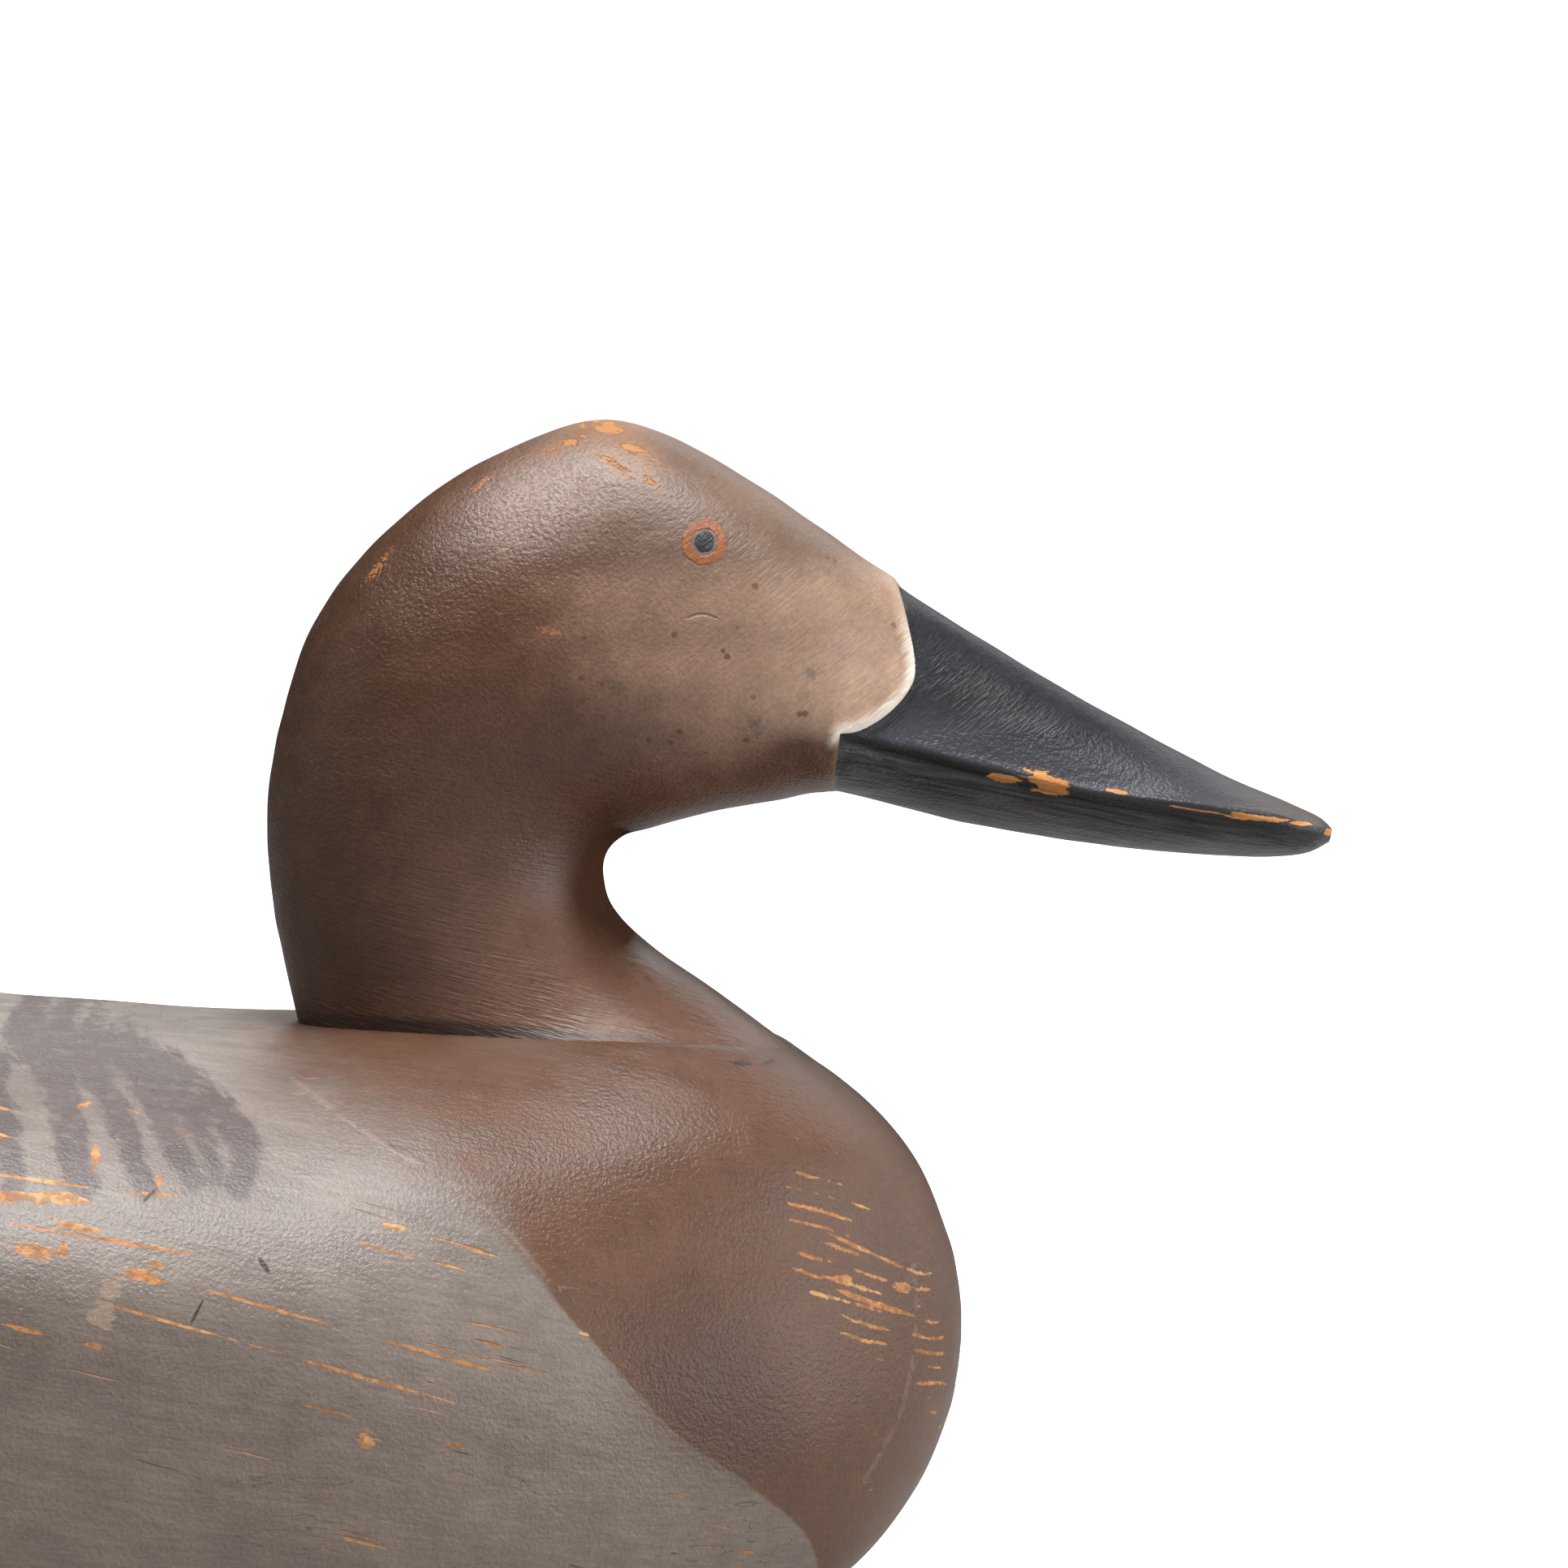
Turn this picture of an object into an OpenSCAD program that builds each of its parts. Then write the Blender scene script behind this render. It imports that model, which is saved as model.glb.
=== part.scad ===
// Floating duck decoy: a hollowed wooden body closed by a board, a carved head and neck
// doweled to its seat, a ballasted keel, and a ring on a staple for the anchor line.
// +X runs towards the bill, +Z is up, and the origin is the centre of the keel's resting face.

/* [Body] */
// Length of the carved body, from breast to tail
body_l = 370; // [350:1:390]
// Greatest width of the body
body_w = 158; // [150:1:166]
// Height of the body, from its underside to the back of the neck seat
body_h = 86; // [82:1:90]
// Thickness of the wood left around the hollow, at the board
wall = 26; // [22:1:28]
// Thickness of the board that closes the underside
board_t = 10; // [8:1:12]
// Thickness of the bedding compound between board and body
seal_t = 0.6; // [0.4:0.1:1]

/* [Head] */
// Length of the head, from the nape to the tip of the bill
head_l = 142; // [136:1:150]
// Height of the crown above the back of the neck seat
head_h = 79.7; // [76:0.1:84]
// Greatest width of the head, across the cheeks
head_w = 43; // [40:1:48]

/* [Neck joint] */
// Diameter of the hardwood dowel that joins neck and body
dowel_d = 12.7; // [10:0.1:13]
// Length of the dowel
dowel_l = 48; // [40:1:50]
// Outside diameter of a wood screw's thread
screw_d = 4.2; // [3.5:0.1:4.5]
// Length of a neck screw below its head
neck_screw_l = 32; // [28:1:34]
// Diameter of a washer under a neck screw
washer_d = 12; // [10:1:13]

/* [Keel and ballast] */
// Length of the keel along its top
keel_l = 200; // [180:1:204]
// Width of the keel
keel_w = 30; // [26:1:34]
// Depth of the keel
keel_h = 16; // [14:1:20]
// Length of the lead strip let into the keel
ballast_l = 116; // [90:1:124]
// Width of the lead strip
ballast_w = 19; // [16:1:20]
// Thickness of the lead strip
ballast_t = 6; // [4:0.5:7]
// Diameter of the tether hole through the keel
tether_d = 6.4; // [5:0.1:7]

/* [Line tie] */
// Diameter of the staple's wire
staple_wire = 2.4; // [2:0.1:3]
// Distance between the centres of the staple's legs
staple_gap = 10; // [9:0.5:12]
// How far the staple stands out of the board
staple_out = 8; // [7.5:0.1:9]
// Diameter of the ring's wire
ring_wire = 2.5; // [2:0.1:2.6]
// Outside diameter of the ring
ring_d = 24; // [20:1:25]

/* [Detail] */
// Ribs between two stations of a carved form
ribs_per_gap = 3; // [2:1:4]
// Points around each rib
points_around = 36; // [24:4:40]

/* [Hidden] */

round_fn = 48;
glue_gap = 0.05;                       // every joint that is glued or bedded by hand
fit_gap = 0.03;                        // around each dowel, screw and nail
far = 600;                             // longer than anything it cuts

body_z = keel_h;                       // underside of the board
board_top = body_z + board_t;
shell_z = board_top + seal_t;          // underside of the hollowed body
breast_x = body_l * 0.4873;            // puts the keel below the body's balance point

wood_grey = [0.42, 0.40, 0.37];
wood_brown = [0.35, 0.25, 0.20];
bare_wood = [0.78, 0.56, 0.33];
iron = [0.24, 0.20, 0.18];
steel = [0.55, 0.55, 0.56];
lead = [0.38, 0.39, 0.41];
bedding_white = [0.85, 0.84, 0.80];

// ---- Carved forms ------------------------------------------------------------------------------
// A rib is [low x, low z, high x, high z, half-width, place of the widest point as a share of the
// rib, roundness below it, roundness above it]. Roundness 2 is an ellipse and 3 is squarer.

function catmull(a, b, c, d, t) =
    0.5 * (2 * b + (c - a) * t + (2 * a - 5 * b + 4 * c - d) * t * t
           + (3 * b - a - 3 * c + d) * t * t * t);

function rib_between(rows, i, t) =
    let (last = len(rows) - 1)
    catmull(rows[max(i - 1, 0)], rows[i], rows[i + 1], rows[min(i + 2, last)], t);

function all_ribs(rows, per_gap) = [
    for (i = [0 : len(rows) - 2], k = [0 : per_gap - 1]) rib_between(rows, i, k / per_gap),
    rows[len(rows) - 1]
];

function signed_power(v, p) = sign(v) * pow(abs(v), p);

function rib_points(rib, around) = [
    for (k = [0 : around - 1])
        let (along = cos(360 * k / around), side = sin(360 * k / around),
             p = 2 / (along < 0 ? rib[6] : rib[7]),
             reach = signed_power(along, p),
             share = rib[5] + reach * (along < 0 ? rib[5] : 1 - rib[5]))
        [rib[0] + (rib[2] - rib[0]) * share,
         rib[4] * signed_power(side, p),
         rib[1] + (rib[3] - rib[1]) * share]
];

module carved(rows, per_gap = ribs_per_gap, around = points_around) {
    ribs = all_ribs(rows, per_gap);
    last = len(ribs) - 1;
    points = [for (rib = ribs) each rib_points(rib, around)];
    sides = [
        for (i = [0 : last - 1], k = [0 : around - 1])
            let (a = i * around + k, b = i * around + (k + 1) % around)
            each [[a, a + around, b], [b, a + around, b + around]]
    ];
    first_cap = [for (k = [0 : around - 1]) k];
    last_cap = [for (k = [around - 1 : -1 : 0]) last * around + k];
    polyhedron(points, [first_cap, last_cap, each sides], convexity = 6);
}

// ---- Body --------------------------------------------------------------------------------------
// Places on the body are a share of its length back from the breast and of its height.

function body_x(share) = breast_x - share * body_l;
function body_up(share) = body_z + share * body_h;
function body_rib(at, low, high, half_w, widest, below, above) =
    [body_x(at), body_up(low), body_x(at), body_up(high), half_w * body_w / 2, widest, below, above];

breast_r = 0.1216;                     // the breast is an arc this long, as a share of the body
breast_mid = 0.523;                    // height of its foremost point
breast_rise = 0.49;                    // from there to its top
breast_ribs = [
    for (a = [4, 16, 30, 46, 64])      // degrees round from the foremost point
        body_rib(breast_r * (1 - cos(a)), breast_mid - 0.545 * sin(a), breast_mid + breast_rise * sin(a),
                 sqrt(1 - pow(1 - 0.3 * (1 - cos(a)), 2)), 0.5 - 0.12 * sin(a), 2.1, 2)
];
underside = -0.045;                    // below the board, so that cutting it leaves a flat
body_ribs = [
    each breast_ribs,
    body_rib(0.122, underside, 1.000, 0.715, 0.42, 2.8, 2.0),
    body_rib(0.184, underside, 1.016, 0.84, 0.45, 3.3, 2.1),
    body_rib(0.238, underside, 0.998, 0.91, 0.49, 3.5, 2.2),
    body_rib(0.324, underside, 1.019, 0.98, 0.52, 3.7, 2.3),
    body_rib(0.432, underside, 1.052, 1.00, 0.53, 3.7, 2.3),
    body_rib(0.541, underside, 1.058, 0.985, 0.53, 3.7, 2.3),
    body_rib(0.649, underside, 1.014, 0.91, 0.52, 3.3, 2.2),
    body_rib(0.757, 0.000, 0.908, 0.76, 0.46, 2.7, 2.1),
    body_rib(0.865, 0.14, 0.760, 0.54, 0.50, 2.4, 2.1),
    body_rib(0.946, 0.326, 0.640, 0.34, 0.52, 2.3, 2.2),
    body_rib(0.988, 0.440, 0.562, 0.20, 0.5, 2.2, 2.2),
    body_rib(1.000, 0.475, 0.530, 0.08, 0.5, 2, 2)
];

// The seat slopes a little down towards the breast.
seat_back = [body_x(0.2368), body_up(1)];
seat_front = [body_x(0.0573), body_up(0.944)];
seat_fall = atan2(seat_back.y - seat_front.y, seat_front.x - seat_back.x);
function seat_z(x) = seat_back.y - (x - seat_back.x) * tan(seat_fall);

// The hollow follows the body, with a flat roof under the neck seat.
roof_z = body_up(0.79);
function hollow_rib(at, roof, half_w) =
    [body_x(at), body_z - 10, body_x(at), roof, half_w * body_w / 2 - wall, 0.45, 6, 3.4];
hollow_ribs = [
    hollow_rib(0.12, roof_z - 24, 0.58),
    hollow_rib(0.16, roof_z, 0.76),
    hollow_rib(0.26, roof_z, 0.92),
    hollow_rib(0.43, roof_z + 2, 1.00),
    hollow_rib(0.60, roof_z - 2, 0.94),
    hollow_rib(0.70, roof_z - 14, 0.80),
    hollow_rib(0.76, roof_z - 32, 0.62)
];

module hull_form() carved(body_ribs);
module hollow() carved(hollow_ribs, 2, 20);

module slab(from_z, to_z)
    translate([-far / 2, -far / 2, from_z]) cube([far, far, to_z - from_z]);

// The block of space that the neck seat is planed out of.
module seat_cut()
    translate([seat_back.x, -body_w / 2, seat_back.y]) rotate([0, seat_fall, 0])
        translate([-1, 0, 0]) cube([head_l * 0.75, body_w, head_h]);

// ---- Fasteners ---------------------------------------------------------------------------------

dowel_x = seat_back.x + 20.5;
dowel_z = roof_z;
neck_screw_x = [seat_back.x + 5.5, seat_back.x + 36];
washer_t = 1.2;
washer_z = roof_z + 2;                 // each washer sits in a flat spot cut up into the roof
screw_head_h = 2.6;
thread_pitch = 1.9;
thread_depth = 0.55;

// A round-headed wood screw pointing up, with its head's seat at z = 0.
module wood_screw(length, head_d) {
    tip_l = 5;
    threads = floor((length * 0.62 - tip_l) / thread_pitch);
    shank = length - tip_l - threads * thread_pitch;
    r = screw_d / 2;
    profile = [
        [0, -screw_head_h], [head_d * 0.25, -screw_head_h], [head_d * 0.42, -screw_head_h * 0.72],
        [head_d * 0.5, -screw_head_h * 0.25], [head_d * 0.5, 0], [r, 0], [r, shank],
        for (i = [0 : threads - 1])
            each [[r - thread_depth, shank + i * thread_pitch + 0.2],
                  [r, shank + (i + 0.55) * thread_pitch],
                  [r, shank + (i + 0.7) * thread_pitch]],
        [r - thread_depth, length - tip_l], [0, length]
    ];
    slot_w = 1.1;
    difference() {
        rotate_extrude($fn = round_fn) polygon(profile);
        translate([-head_d, -slot_w / 2, -screw_head_h - 1]) cube([head_d * 2, slot_w, 2]);
    }
}

// A cut or wire nail pointing up, with the underside of its head at z = 0.
module nail(length, wire_d, head_d, head_t) {
    point_l = wire_d * 2;
    rotate_extrude($fn = round_fn) polygon([
        [0, -head_t], [head_d / 2, -head_t], [head_d / 2, 0], [wire_d / 2, 0],
        [wire_d / 2, length - point_l], [0, length]
    ]);
}

module nail_hole(length, wire_d, head_d, head_t) {
    translate([0, 0, -head_t - 3]) cylinder(h = head_t + 3, d = head_d + 2 * fit_gap, $fn = round_fn);
    translate([0, 0, -0.01]) cylinder(h = length + 0.5, d = wire_d + 2 * fit_gap, $fn = round_fn);
}

// ---- Board nails: a ring of nails near the edge of the board ------------------------------------

board_nail_l = 30;
board_nail_d = 2.2;
board_nail_head = 5;
board_nail_head_t = 1;
board_nail_set = 2.4;                  // the heads are driven below the wood and covered with paint
// Shares back from the breast and of the half-width, one pair of nails at each.
board_nail_pairs = [[0.19, 0.56], [0.29, 0.68], [0.40, 0.73], [0.51, 0.73], [0.62, 0.67], [0.71, 0.52]];
board_nail_ends = [0.096, 0.775];

module at_board_nails() {
    for (end = board_nail_ends)
        translate([body_x(end), 0, body_z + board_nail_set]) children();
    for (pair = board_nail_pairs, side = [-1, 1])
        translate([body_x(pair[0]), side * pair[1] * body_w / 2, body_z + board_nail_set]) children();
}

// ---- Keel --------------------------------------------------------------------------------------

keel_rake = 12;                        // how much shorter the keel is at its foot, each end
keel_screw_x = [-66, 0, 66] * keel_l / 200;
keel_screw_l = 15;
keel_screw_head = 8.2;
keel_pocket = ballast_t + screw_head_h + 0.6;   // the middle screw's head is above the ballast
tether_x = -keel_l / 2 + keel_rake + 7;
tether_z = keel_h * 0.47;
ballast_nail_x = [-0.42, -0.2, 0.2, 0.42] * ballast_l;
ballast_nail_l = 12.5;
ballast_nail_d = 2;
ballast_nail_head = 5.4;
ballast_nail_head_t = 1.1;

module keel_screw_holes()
    for (x = keel_screw_x) translate([x, 0, 0]) {
        translate([0, 0, -1]) cylinder(h = keel_pocket + 1, d = keel_screw_head + 1, $fn = round_fn);
        cylinder(h = keel_pocket + keel_screw_l + 0.5, d = screw_d + 2 * fit_gap, $fn = round_fn);
    }

module at_ballast_nails()
    for (x = ballast_nail_x) translate([x, 0, ballast_nail_head_t]) children();

// ---- Line tie ----------------------------------------------------------------------------------

tie_x = body_x(0.14);
staple_crown_z = body_z - staple_out + staple_wire / 2;
ring_gap = 0.1;                        // between ring and crown
ring_z = staple_crown_z + staple_wire / 2 + ring_gap + ring_wire / 2;
ring_r = (ring_d - ring_wire) / 2;
ring_droop = 28.5;                     // at rest its far side hangs just above the ground
staple_bend = 3;
staple_leg_l = board_t - 1.5;
staple_point_l = 3;

module staple_holes()
    for (side = [-1, 1])
        translate([tie_x + side * staple_gap / 2, 0, body_z - 1])
            cylinder(h = staple_leg_l + 1.5, d = staple_wire + 2 * fit_gap, $fn = round_fn);

// ---- The pieces --------------------------------------------------------------------------------

module body_shell() color(wood_grey) difference() {
    intersection() {
        hull_form();
        slab(shell_z, far);
    }
    hollow();
    seat_cut();
    translate([dowel_x, 0, dowel_z - 2]) cylinder(h = dowel_l, d = dowel_d + 2 * fit_gap, $fn = round_fn);
    for (x = neck_screw_x) {
        translate([x, 0, 0]) cylinder(h = washer_z, d = washer_d + 1, $fn = round_fn);
        translate([x, 0, 0]) cylinder(h = far, d = screw_d + 2 * fit_gap, $fn = round_fn);
    }
    at_board_nails() nail_hole(board_nail_l, board_nail_d, board_nail_head, board_nail_head_t);
}

module bottom_board() color(wood_grey) difference() {
    intersection() {
        hull_form();
        slab(body_z, board_top);
    }
    at_board_nails() nail_hole(board_nail_l, board_nail_d, board_nail_head, board_nail_head_t);
    keel_screw_holes();
    staple_holes();
}

module board_seal() color(bedding_white) difference() {
    intersection() {
        hull_form();
        slab(board_top, shell_z);
    }
    hollow();
    at_board_nails() nail_hole(board_nail_l, board_nail_d, board_nail_head, board_nail_head_t);
}

module board_nails() color(iron)
    at_board_nails() nail(board_nail_l, board_nail_d, board_nail_head, board_nail_head_t);

// Places on the head are a share of its length from the nape and of its height above the seat.
nape_x = seat_back.x - 0.0304 * head_l;
function head_rib(low, high, half_w, widest, below, above) =
    [nape_x + low.x * head_l, seat_back.y + low.y * head_h, nape_x + high.x * head_l,
     seat_back.y + high.y * head_h, half_w * head_w / 2, widest, below, above];

seat_front_up = (seat_front.y - seat_back.y) / head_h;
seat_front_at = (seat_front.x - nape_x) / head_l;
head_ribs = [
    head_rib([seat_front_at, seat_front_up], [0.0304, 0], 0.96, 0.54, 2.2, 2.2),   // on the seat
    head_rib([0.403, 0.062], [0.003, 0.202], 0.90, 0.52, 2.2, 2.2),
    head_rib([0.335, 0.161], [0.008, 0.439], 0.87, 0.50, 2.2, 2.2),                // neck
    head_rib([0.316, 0.236], [0.053, 0.683], 0.90, 0.46, 2.2, 2.1),                // throat to nape
    head_rib([0.326, 0.298], [0.164, 0.886], 0.95, 0.42, 2.2, 2.0),
    head_rib([0.359, 0.318], [0.317, 1.000], 1.00, 0.42, 2.3, 2.05),               // crown
    head_rib([0.431, 0.351], [0.435, 0.919], 0.98, 0.43, 2.4, 2.35),               // cheek
    head_rib([0.485, 0.366], [0.511, 0.829], 0.86, 0.40, 2.3, 2.4),
    head_rib([0.534, 0.377], [0.583, 0.733], 0.63, 0.30, 2.2, 2.15),               // root of the bill
    head_rib([0.637, 0.333], [0.697, 0.604], 0.56, 0.27, 2.2, 1.9),
    head_rib([0.758, 0.293], [0.819, 0.480], 0.53, 0.26, 2.3, 1.9),
    head_rib([0.880, 0.272], [0.926, 0.381], 0.48, 0.30, 2.3, 2.0),
    head_rib([0.960, 0.271], [0.977, 0.343], 0.35, 0.40, 2.2, 2.0),
    head_rib([0.9985, 0.296], [1.000, 0.313], 0.10, 0.5, 2, 2)                     // tip of the bill
];

module head_and_neck() color(wood_brown) difference() {
    translate([0, 0, glue_gap]) carved(head_ribs);
    translate([dowel_x, 0, dowel_z]) cylinder(h = dowel_l + 1, d = dowel_d + 2 * fit_gap, $fn = round_fn);
    for (x = neck_screw_x)
        translate([x, 0, washer_z - washer_t])
            cylinder(h = neck_screw_l + 0.5, d = screw_d + 2 * fit_gap, $fn = round_fn);
}

module neck_dowel() color(bare_wood)
    translate([dowel_x, 0, dowel_z]) rotate_extrude($fn = round_fn) polygon([
        [0, 0], [dowel_d / 2 - 1, 0], [dowel_d / 2, 1],
        [dowel_d / 2, dowel_l - 1], [dowel_d / 2 - 1, dowel_l], [0, dowel_l]
    ]);

module neck_screws() color(steel)
    for (x = neck_screw_x)
        translate([x, 0, washer_z - washer_t]) wood_screw(neck_screw_l, screw_d * 1.95);

module neck_washers() color(steel)
    for (x = neck_screw_x)
        translate([x, 0, washer_z - washer_t]) difference() {
            cylinder(h = washer_t, d = washer_d, $fn = round_fn);
            translate([0, 0, -1]) cylinder(h = washer_t + 2, d = screw_d + 0.6, $fn = round_fn);
        }

module keel() color(wood_grey) difference() {
    intersection() {
        rotate([90, 0, 0]) linear_extrude(keel_w, center = true) polygon([
            [-keel_l / 2, keel_h], [keel_l / 2, keel_h],
            [keel_l / 2 - keel_rake, 0], [-keel_l / 2 + keel_rake, 0]
        ]);
        linear_extrude(keel_h) {
            square([keel_l - keel_w, keel_w], center = true);
            for (side = [-1, 1])
                translate([side * (keel_l - keel_w) / 2, 0]) circle(d = keel_w, $fn = 64);
        }
    }
    translate([-ballast_l / 2 - glue_gap, -ballast_w / 2 - glue_gap, -1])
        cube([ballast_l + 2 * glue_gap, ballast_w + 2 * glue_gap, ballast_t + 1 + glue_gap]);
    translate([tether_x, 0, tether_z]) rotate([90, 0, 0])
        cylinder(h = keel_w + 2, d = tether_d, center = true, $fn = round_fn);
    keel_screw_holes();
    at_ballast_nails() nail_hole(ballast_nail_l, ballast_nail_d, ballast_nail_head, ballast_nail_head_t);
}

module keel_screws() color(steel)
    for (x = keel_screw_x)
        translate([x, 0, keel_pocket]) wood_screw(keel_screw_l, keel_screw_head);

module ballast_strip() color(lead) difference() {
    translate([-ballast_l / 2, -ballast_w / 2, 0]) cube([ballast_l, ballast_w, ballast_t]);
    at_ballast_nails() nail_hole(ballast_nail_l, ballast_nail_d, ballast_nail_head, ballast_nail_head_t);
}

module ballast_nails() color(iron)
    at_ballast_nails() nail(ballast_nail_l, ballast_nail_d, ballast_nail_head, ballast_nail_head_t);

// A wire staple: two pointed legs and a crown with rounded corners.
module line_staple() color(iron) {
    r = staple_wire / 2;
    bend_z = staple_crown_z + staple_bend;
    point_z = body_z + staple_leg_l - staple_point_l;
    for (side = [-1, 1]) translate([tie_x, 0, 0]) mirror([side < 0 ? 1 : 0, 0, 0]) {
        translate([staple_gap / 2, 0, bend_z])
            cylinder(h = point_z - bend_z, r = r, $fn = round_fn);
        translate([staple_gap / 2, 0, point_z])
            cylinder(h = staple_point_l, r1 = r, r2 = 0.3, $fn = round_fn);
        translate([staple_gap / 2 - staple_bend, 0, bend_z]) rotate([-90, 0, 0])
            rotate_extrude(angle = 90, $fn = round_fn) translate([staple_bend, 0]) circle(r, $fn = round_fn);
        translate([0, 0, staple_crown_z]) rotate([0, 90, 0])
            cylinder(h = staple_gap / 2 - staple_bend, r = r, $fn = round_fn);
    }
}

// The ring hangs on the staple's crown and turns about its own wire there.
module line_ring() color(iron)
    translate([tie_x, 0, ring_z]) rotate([0, ring_droop, 0]) translate([ring_r, 0, 0])
        rotate_extrude($fn = 96) translate([ring_r, 0]) circle(d = ring_wire, $fn = round_fn);

body_shell();
bottom_board();
board_seal();
board_nails();
head_and_neck();
neck_dowel();
neck_screws();
neck_washers();
keel();
keel_screws();
ballast_strip();
ballast_nails();
line_staple();
line_ring();
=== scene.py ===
"""Looks of the floating duck decoy.

The carved head, the carved body and its bottom board are built here as dense meshes in the places of
the CAD nodes. The keel, its lead, the nails and the line tie keep their CAD shapes and get materials.
Lengths are in millimetres until a mesh is made. Places on the carved pieces are shares of their boxes.
"""

import bmesh
import bpy
import numpy as np
from mathutils import Matrix, Vector


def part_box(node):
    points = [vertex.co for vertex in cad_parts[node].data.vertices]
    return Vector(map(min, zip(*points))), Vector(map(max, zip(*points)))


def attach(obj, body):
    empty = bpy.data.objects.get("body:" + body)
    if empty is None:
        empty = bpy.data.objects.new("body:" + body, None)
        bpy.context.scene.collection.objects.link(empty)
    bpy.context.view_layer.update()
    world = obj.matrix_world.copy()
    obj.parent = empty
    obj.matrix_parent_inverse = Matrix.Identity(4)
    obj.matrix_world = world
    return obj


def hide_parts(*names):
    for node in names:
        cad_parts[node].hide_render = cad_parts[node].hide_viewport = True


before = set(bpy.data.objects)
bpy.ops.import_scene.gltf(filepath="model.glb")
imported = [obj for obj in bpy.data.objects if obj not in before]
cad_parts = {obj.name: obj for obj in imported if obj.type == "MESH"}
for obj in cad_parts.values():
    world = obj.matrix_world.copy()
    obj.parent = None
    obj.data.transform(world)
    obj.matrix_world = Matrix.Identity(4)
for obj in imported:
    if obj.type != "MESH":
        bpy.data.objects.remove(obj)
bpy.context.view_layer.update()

MM = 0.001

# ---- Places, worked out from the frame ----


def box_mm(node):
    low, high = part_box(node)
    return np.array(low) / MM, np.array(high) / MM


head_low, head_high = box_mm("head_and_neck")
shell_low, shell_high = box_mm("body_shell")
board_low, board_high = box_mm("bottom_board")
head_l = head_high[0] - head_low[0]
head_h = head_high[2] - head_low[2]
head_half = head_high[1]
body_l = shell_high[0] - shell_low[0]
shell_h = shell_high[2] - shell_low[2]
body_half = shell_high[1]
seat_h = 0.943 * (shell_high[2] - board_low[2])     # underside to the back of the neck seat


def head_at(u, v):
    """(x, z) at shares of the head's box, from the nape forward and from the seat up."""
    return np.array([head_low[0] + u * head_l, head_low[2] + v * head_h])


def body_at(u, v):
    """(x, z) at shares of the body's box, from the breast back and from the board up."""
    return np.array([shell_high[0] - u * body_l, shell_low[2] + v * shell_h])


def places(at, shares):
    return [at(u, v) for u, v in shares]


seat_back = head_at(0.026, 0.056)
seat_front = head_at(0.496, 0.0)
seat_slope = (seat_front[1] - seat_back[1]) / (seat_front[0] - seat_back[0])
SEAT_SIDE_RISE = 0.1        # how much the seam climbs for each millimetre to the side
FOOT_HALF = 0.93            # half-width of the neck's foot, as a share of the head's


def seat_z(x):
    return seat_back[1] + (x - seat_back[0]) * seat_slope


# ---- Curves and fields ----


def smooth(low, high, value):
    t = np.clip((value - low) / (high - low), 0.0, 1.0)
    return t * t * (3.0 - 2.0 * t)


def through(rows, counts):
    """Points along a Catmull-Rom curve through the rows, counts[i] of them after row i."""
    rows = np.asarray(rows, float)
    last = len(rows) - 1
    parts = []
    for i in range(last):
        a, b, c, d = rows[max(i - 1, 0)], rows[i], rows[i + 1], rows[min(i + 2, last)]
        t = (np.arange(counts[i]) / counts[i])[:, None]
        parts.append(0.5 * (2 * b + (c - a) * t + (2 * a - 5 * b + 4 * c - d) * t**2
                            + (3 * b - a - 3 * c + d) * t**3))
    parts.append(rows[-1:])
    return np.concatenate(parts)


def curve(at, shares, steps=8):
    """A smooth line in x and z through places given as shares."""
    rows = places(at, shares)
    return through(rows, [steps] * (len(rows) - 1))


def distance_to(line, x, z):
    """Distance in the side view from every point to a line."""
    best = np.full(x.shape, 1e9)
    for (ax, az), (bx, bz) in zip(line[:-1], line[1:]):
        dx, dz = bx - ax, bz - az
        t = np.clip(((x - ax) * dx + (z - az) * dz) / max(dx * dx + dz * dz, 1e-12), 0, 1)
        best = np.minimum(best, (x - ax - t * dx) ** 2 + (z - az - t * dz) ** 2)
    return np.sqrt(best)


def inside(outline, x, z):
    """Which points are inside a closed outline in the side view."""
    found = np.zeros(x.shape, bool)
    for (ax, az), (bx, bz) in zip(outline, np.roll(outline, -1, axis=0)):
        crosses = (az > z) != (bz > z)
        with np.errstate(divide="ignore", invalid="ignore"):
            found ^= crosses & (x < (bx - ax) * (z - az) / (bz - az) + ax)
    return found


def signed(line, corners, x, z):
    """Distance to the line, positive on the side that the corners close off."""
    outline = np.concatenate([line, np.asarray(corners, float)])
    return np.where(inside(outline, x, z), 1.0, -1.0) * distance_to(line, x, z)


def swell(distance, reach):
    """1 at a line, fading out over a distance on either side."""
    return np.exp(-np.abs(distance) / reach)


def bulge(distance, width):
    """1 at a line, with a rounded fall on either side."""
    return np.exp(-((distance / width) ** 2))


# ---- Carved forms ----


def signed_power(value, power):
    return np.sign(value) * np.abs(value) ** power


def loft(ribs, around):
    """Grid of points, one row a rib. A rib is low x, z, high x, z, half-width, place of the widest
    point as a share of the rib, and its roundness below and above that point (2 is an ellipse)."""
    angle = 2 * np.pi * np.arange(around) / around
    up, side = np.cos(angle)[None, :], np.sin(angle)[None, :]
    low_x, low_z, high_x, high_z, half, widest, below, above = (c[:, None] for c in ribs.T)
    power = 2.0 / np.where(up < 0, below, above)
    share = widest + signed_power(up, power) * np.where(up < 0, widest, 1.0 - widest)
    return np.stack([low_x + (high_x - low_x) * share,
                     half * signed_power(side + 0 * share, power),
                     low_z + (high_z - low_z) * share], axis=-1)


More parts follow.
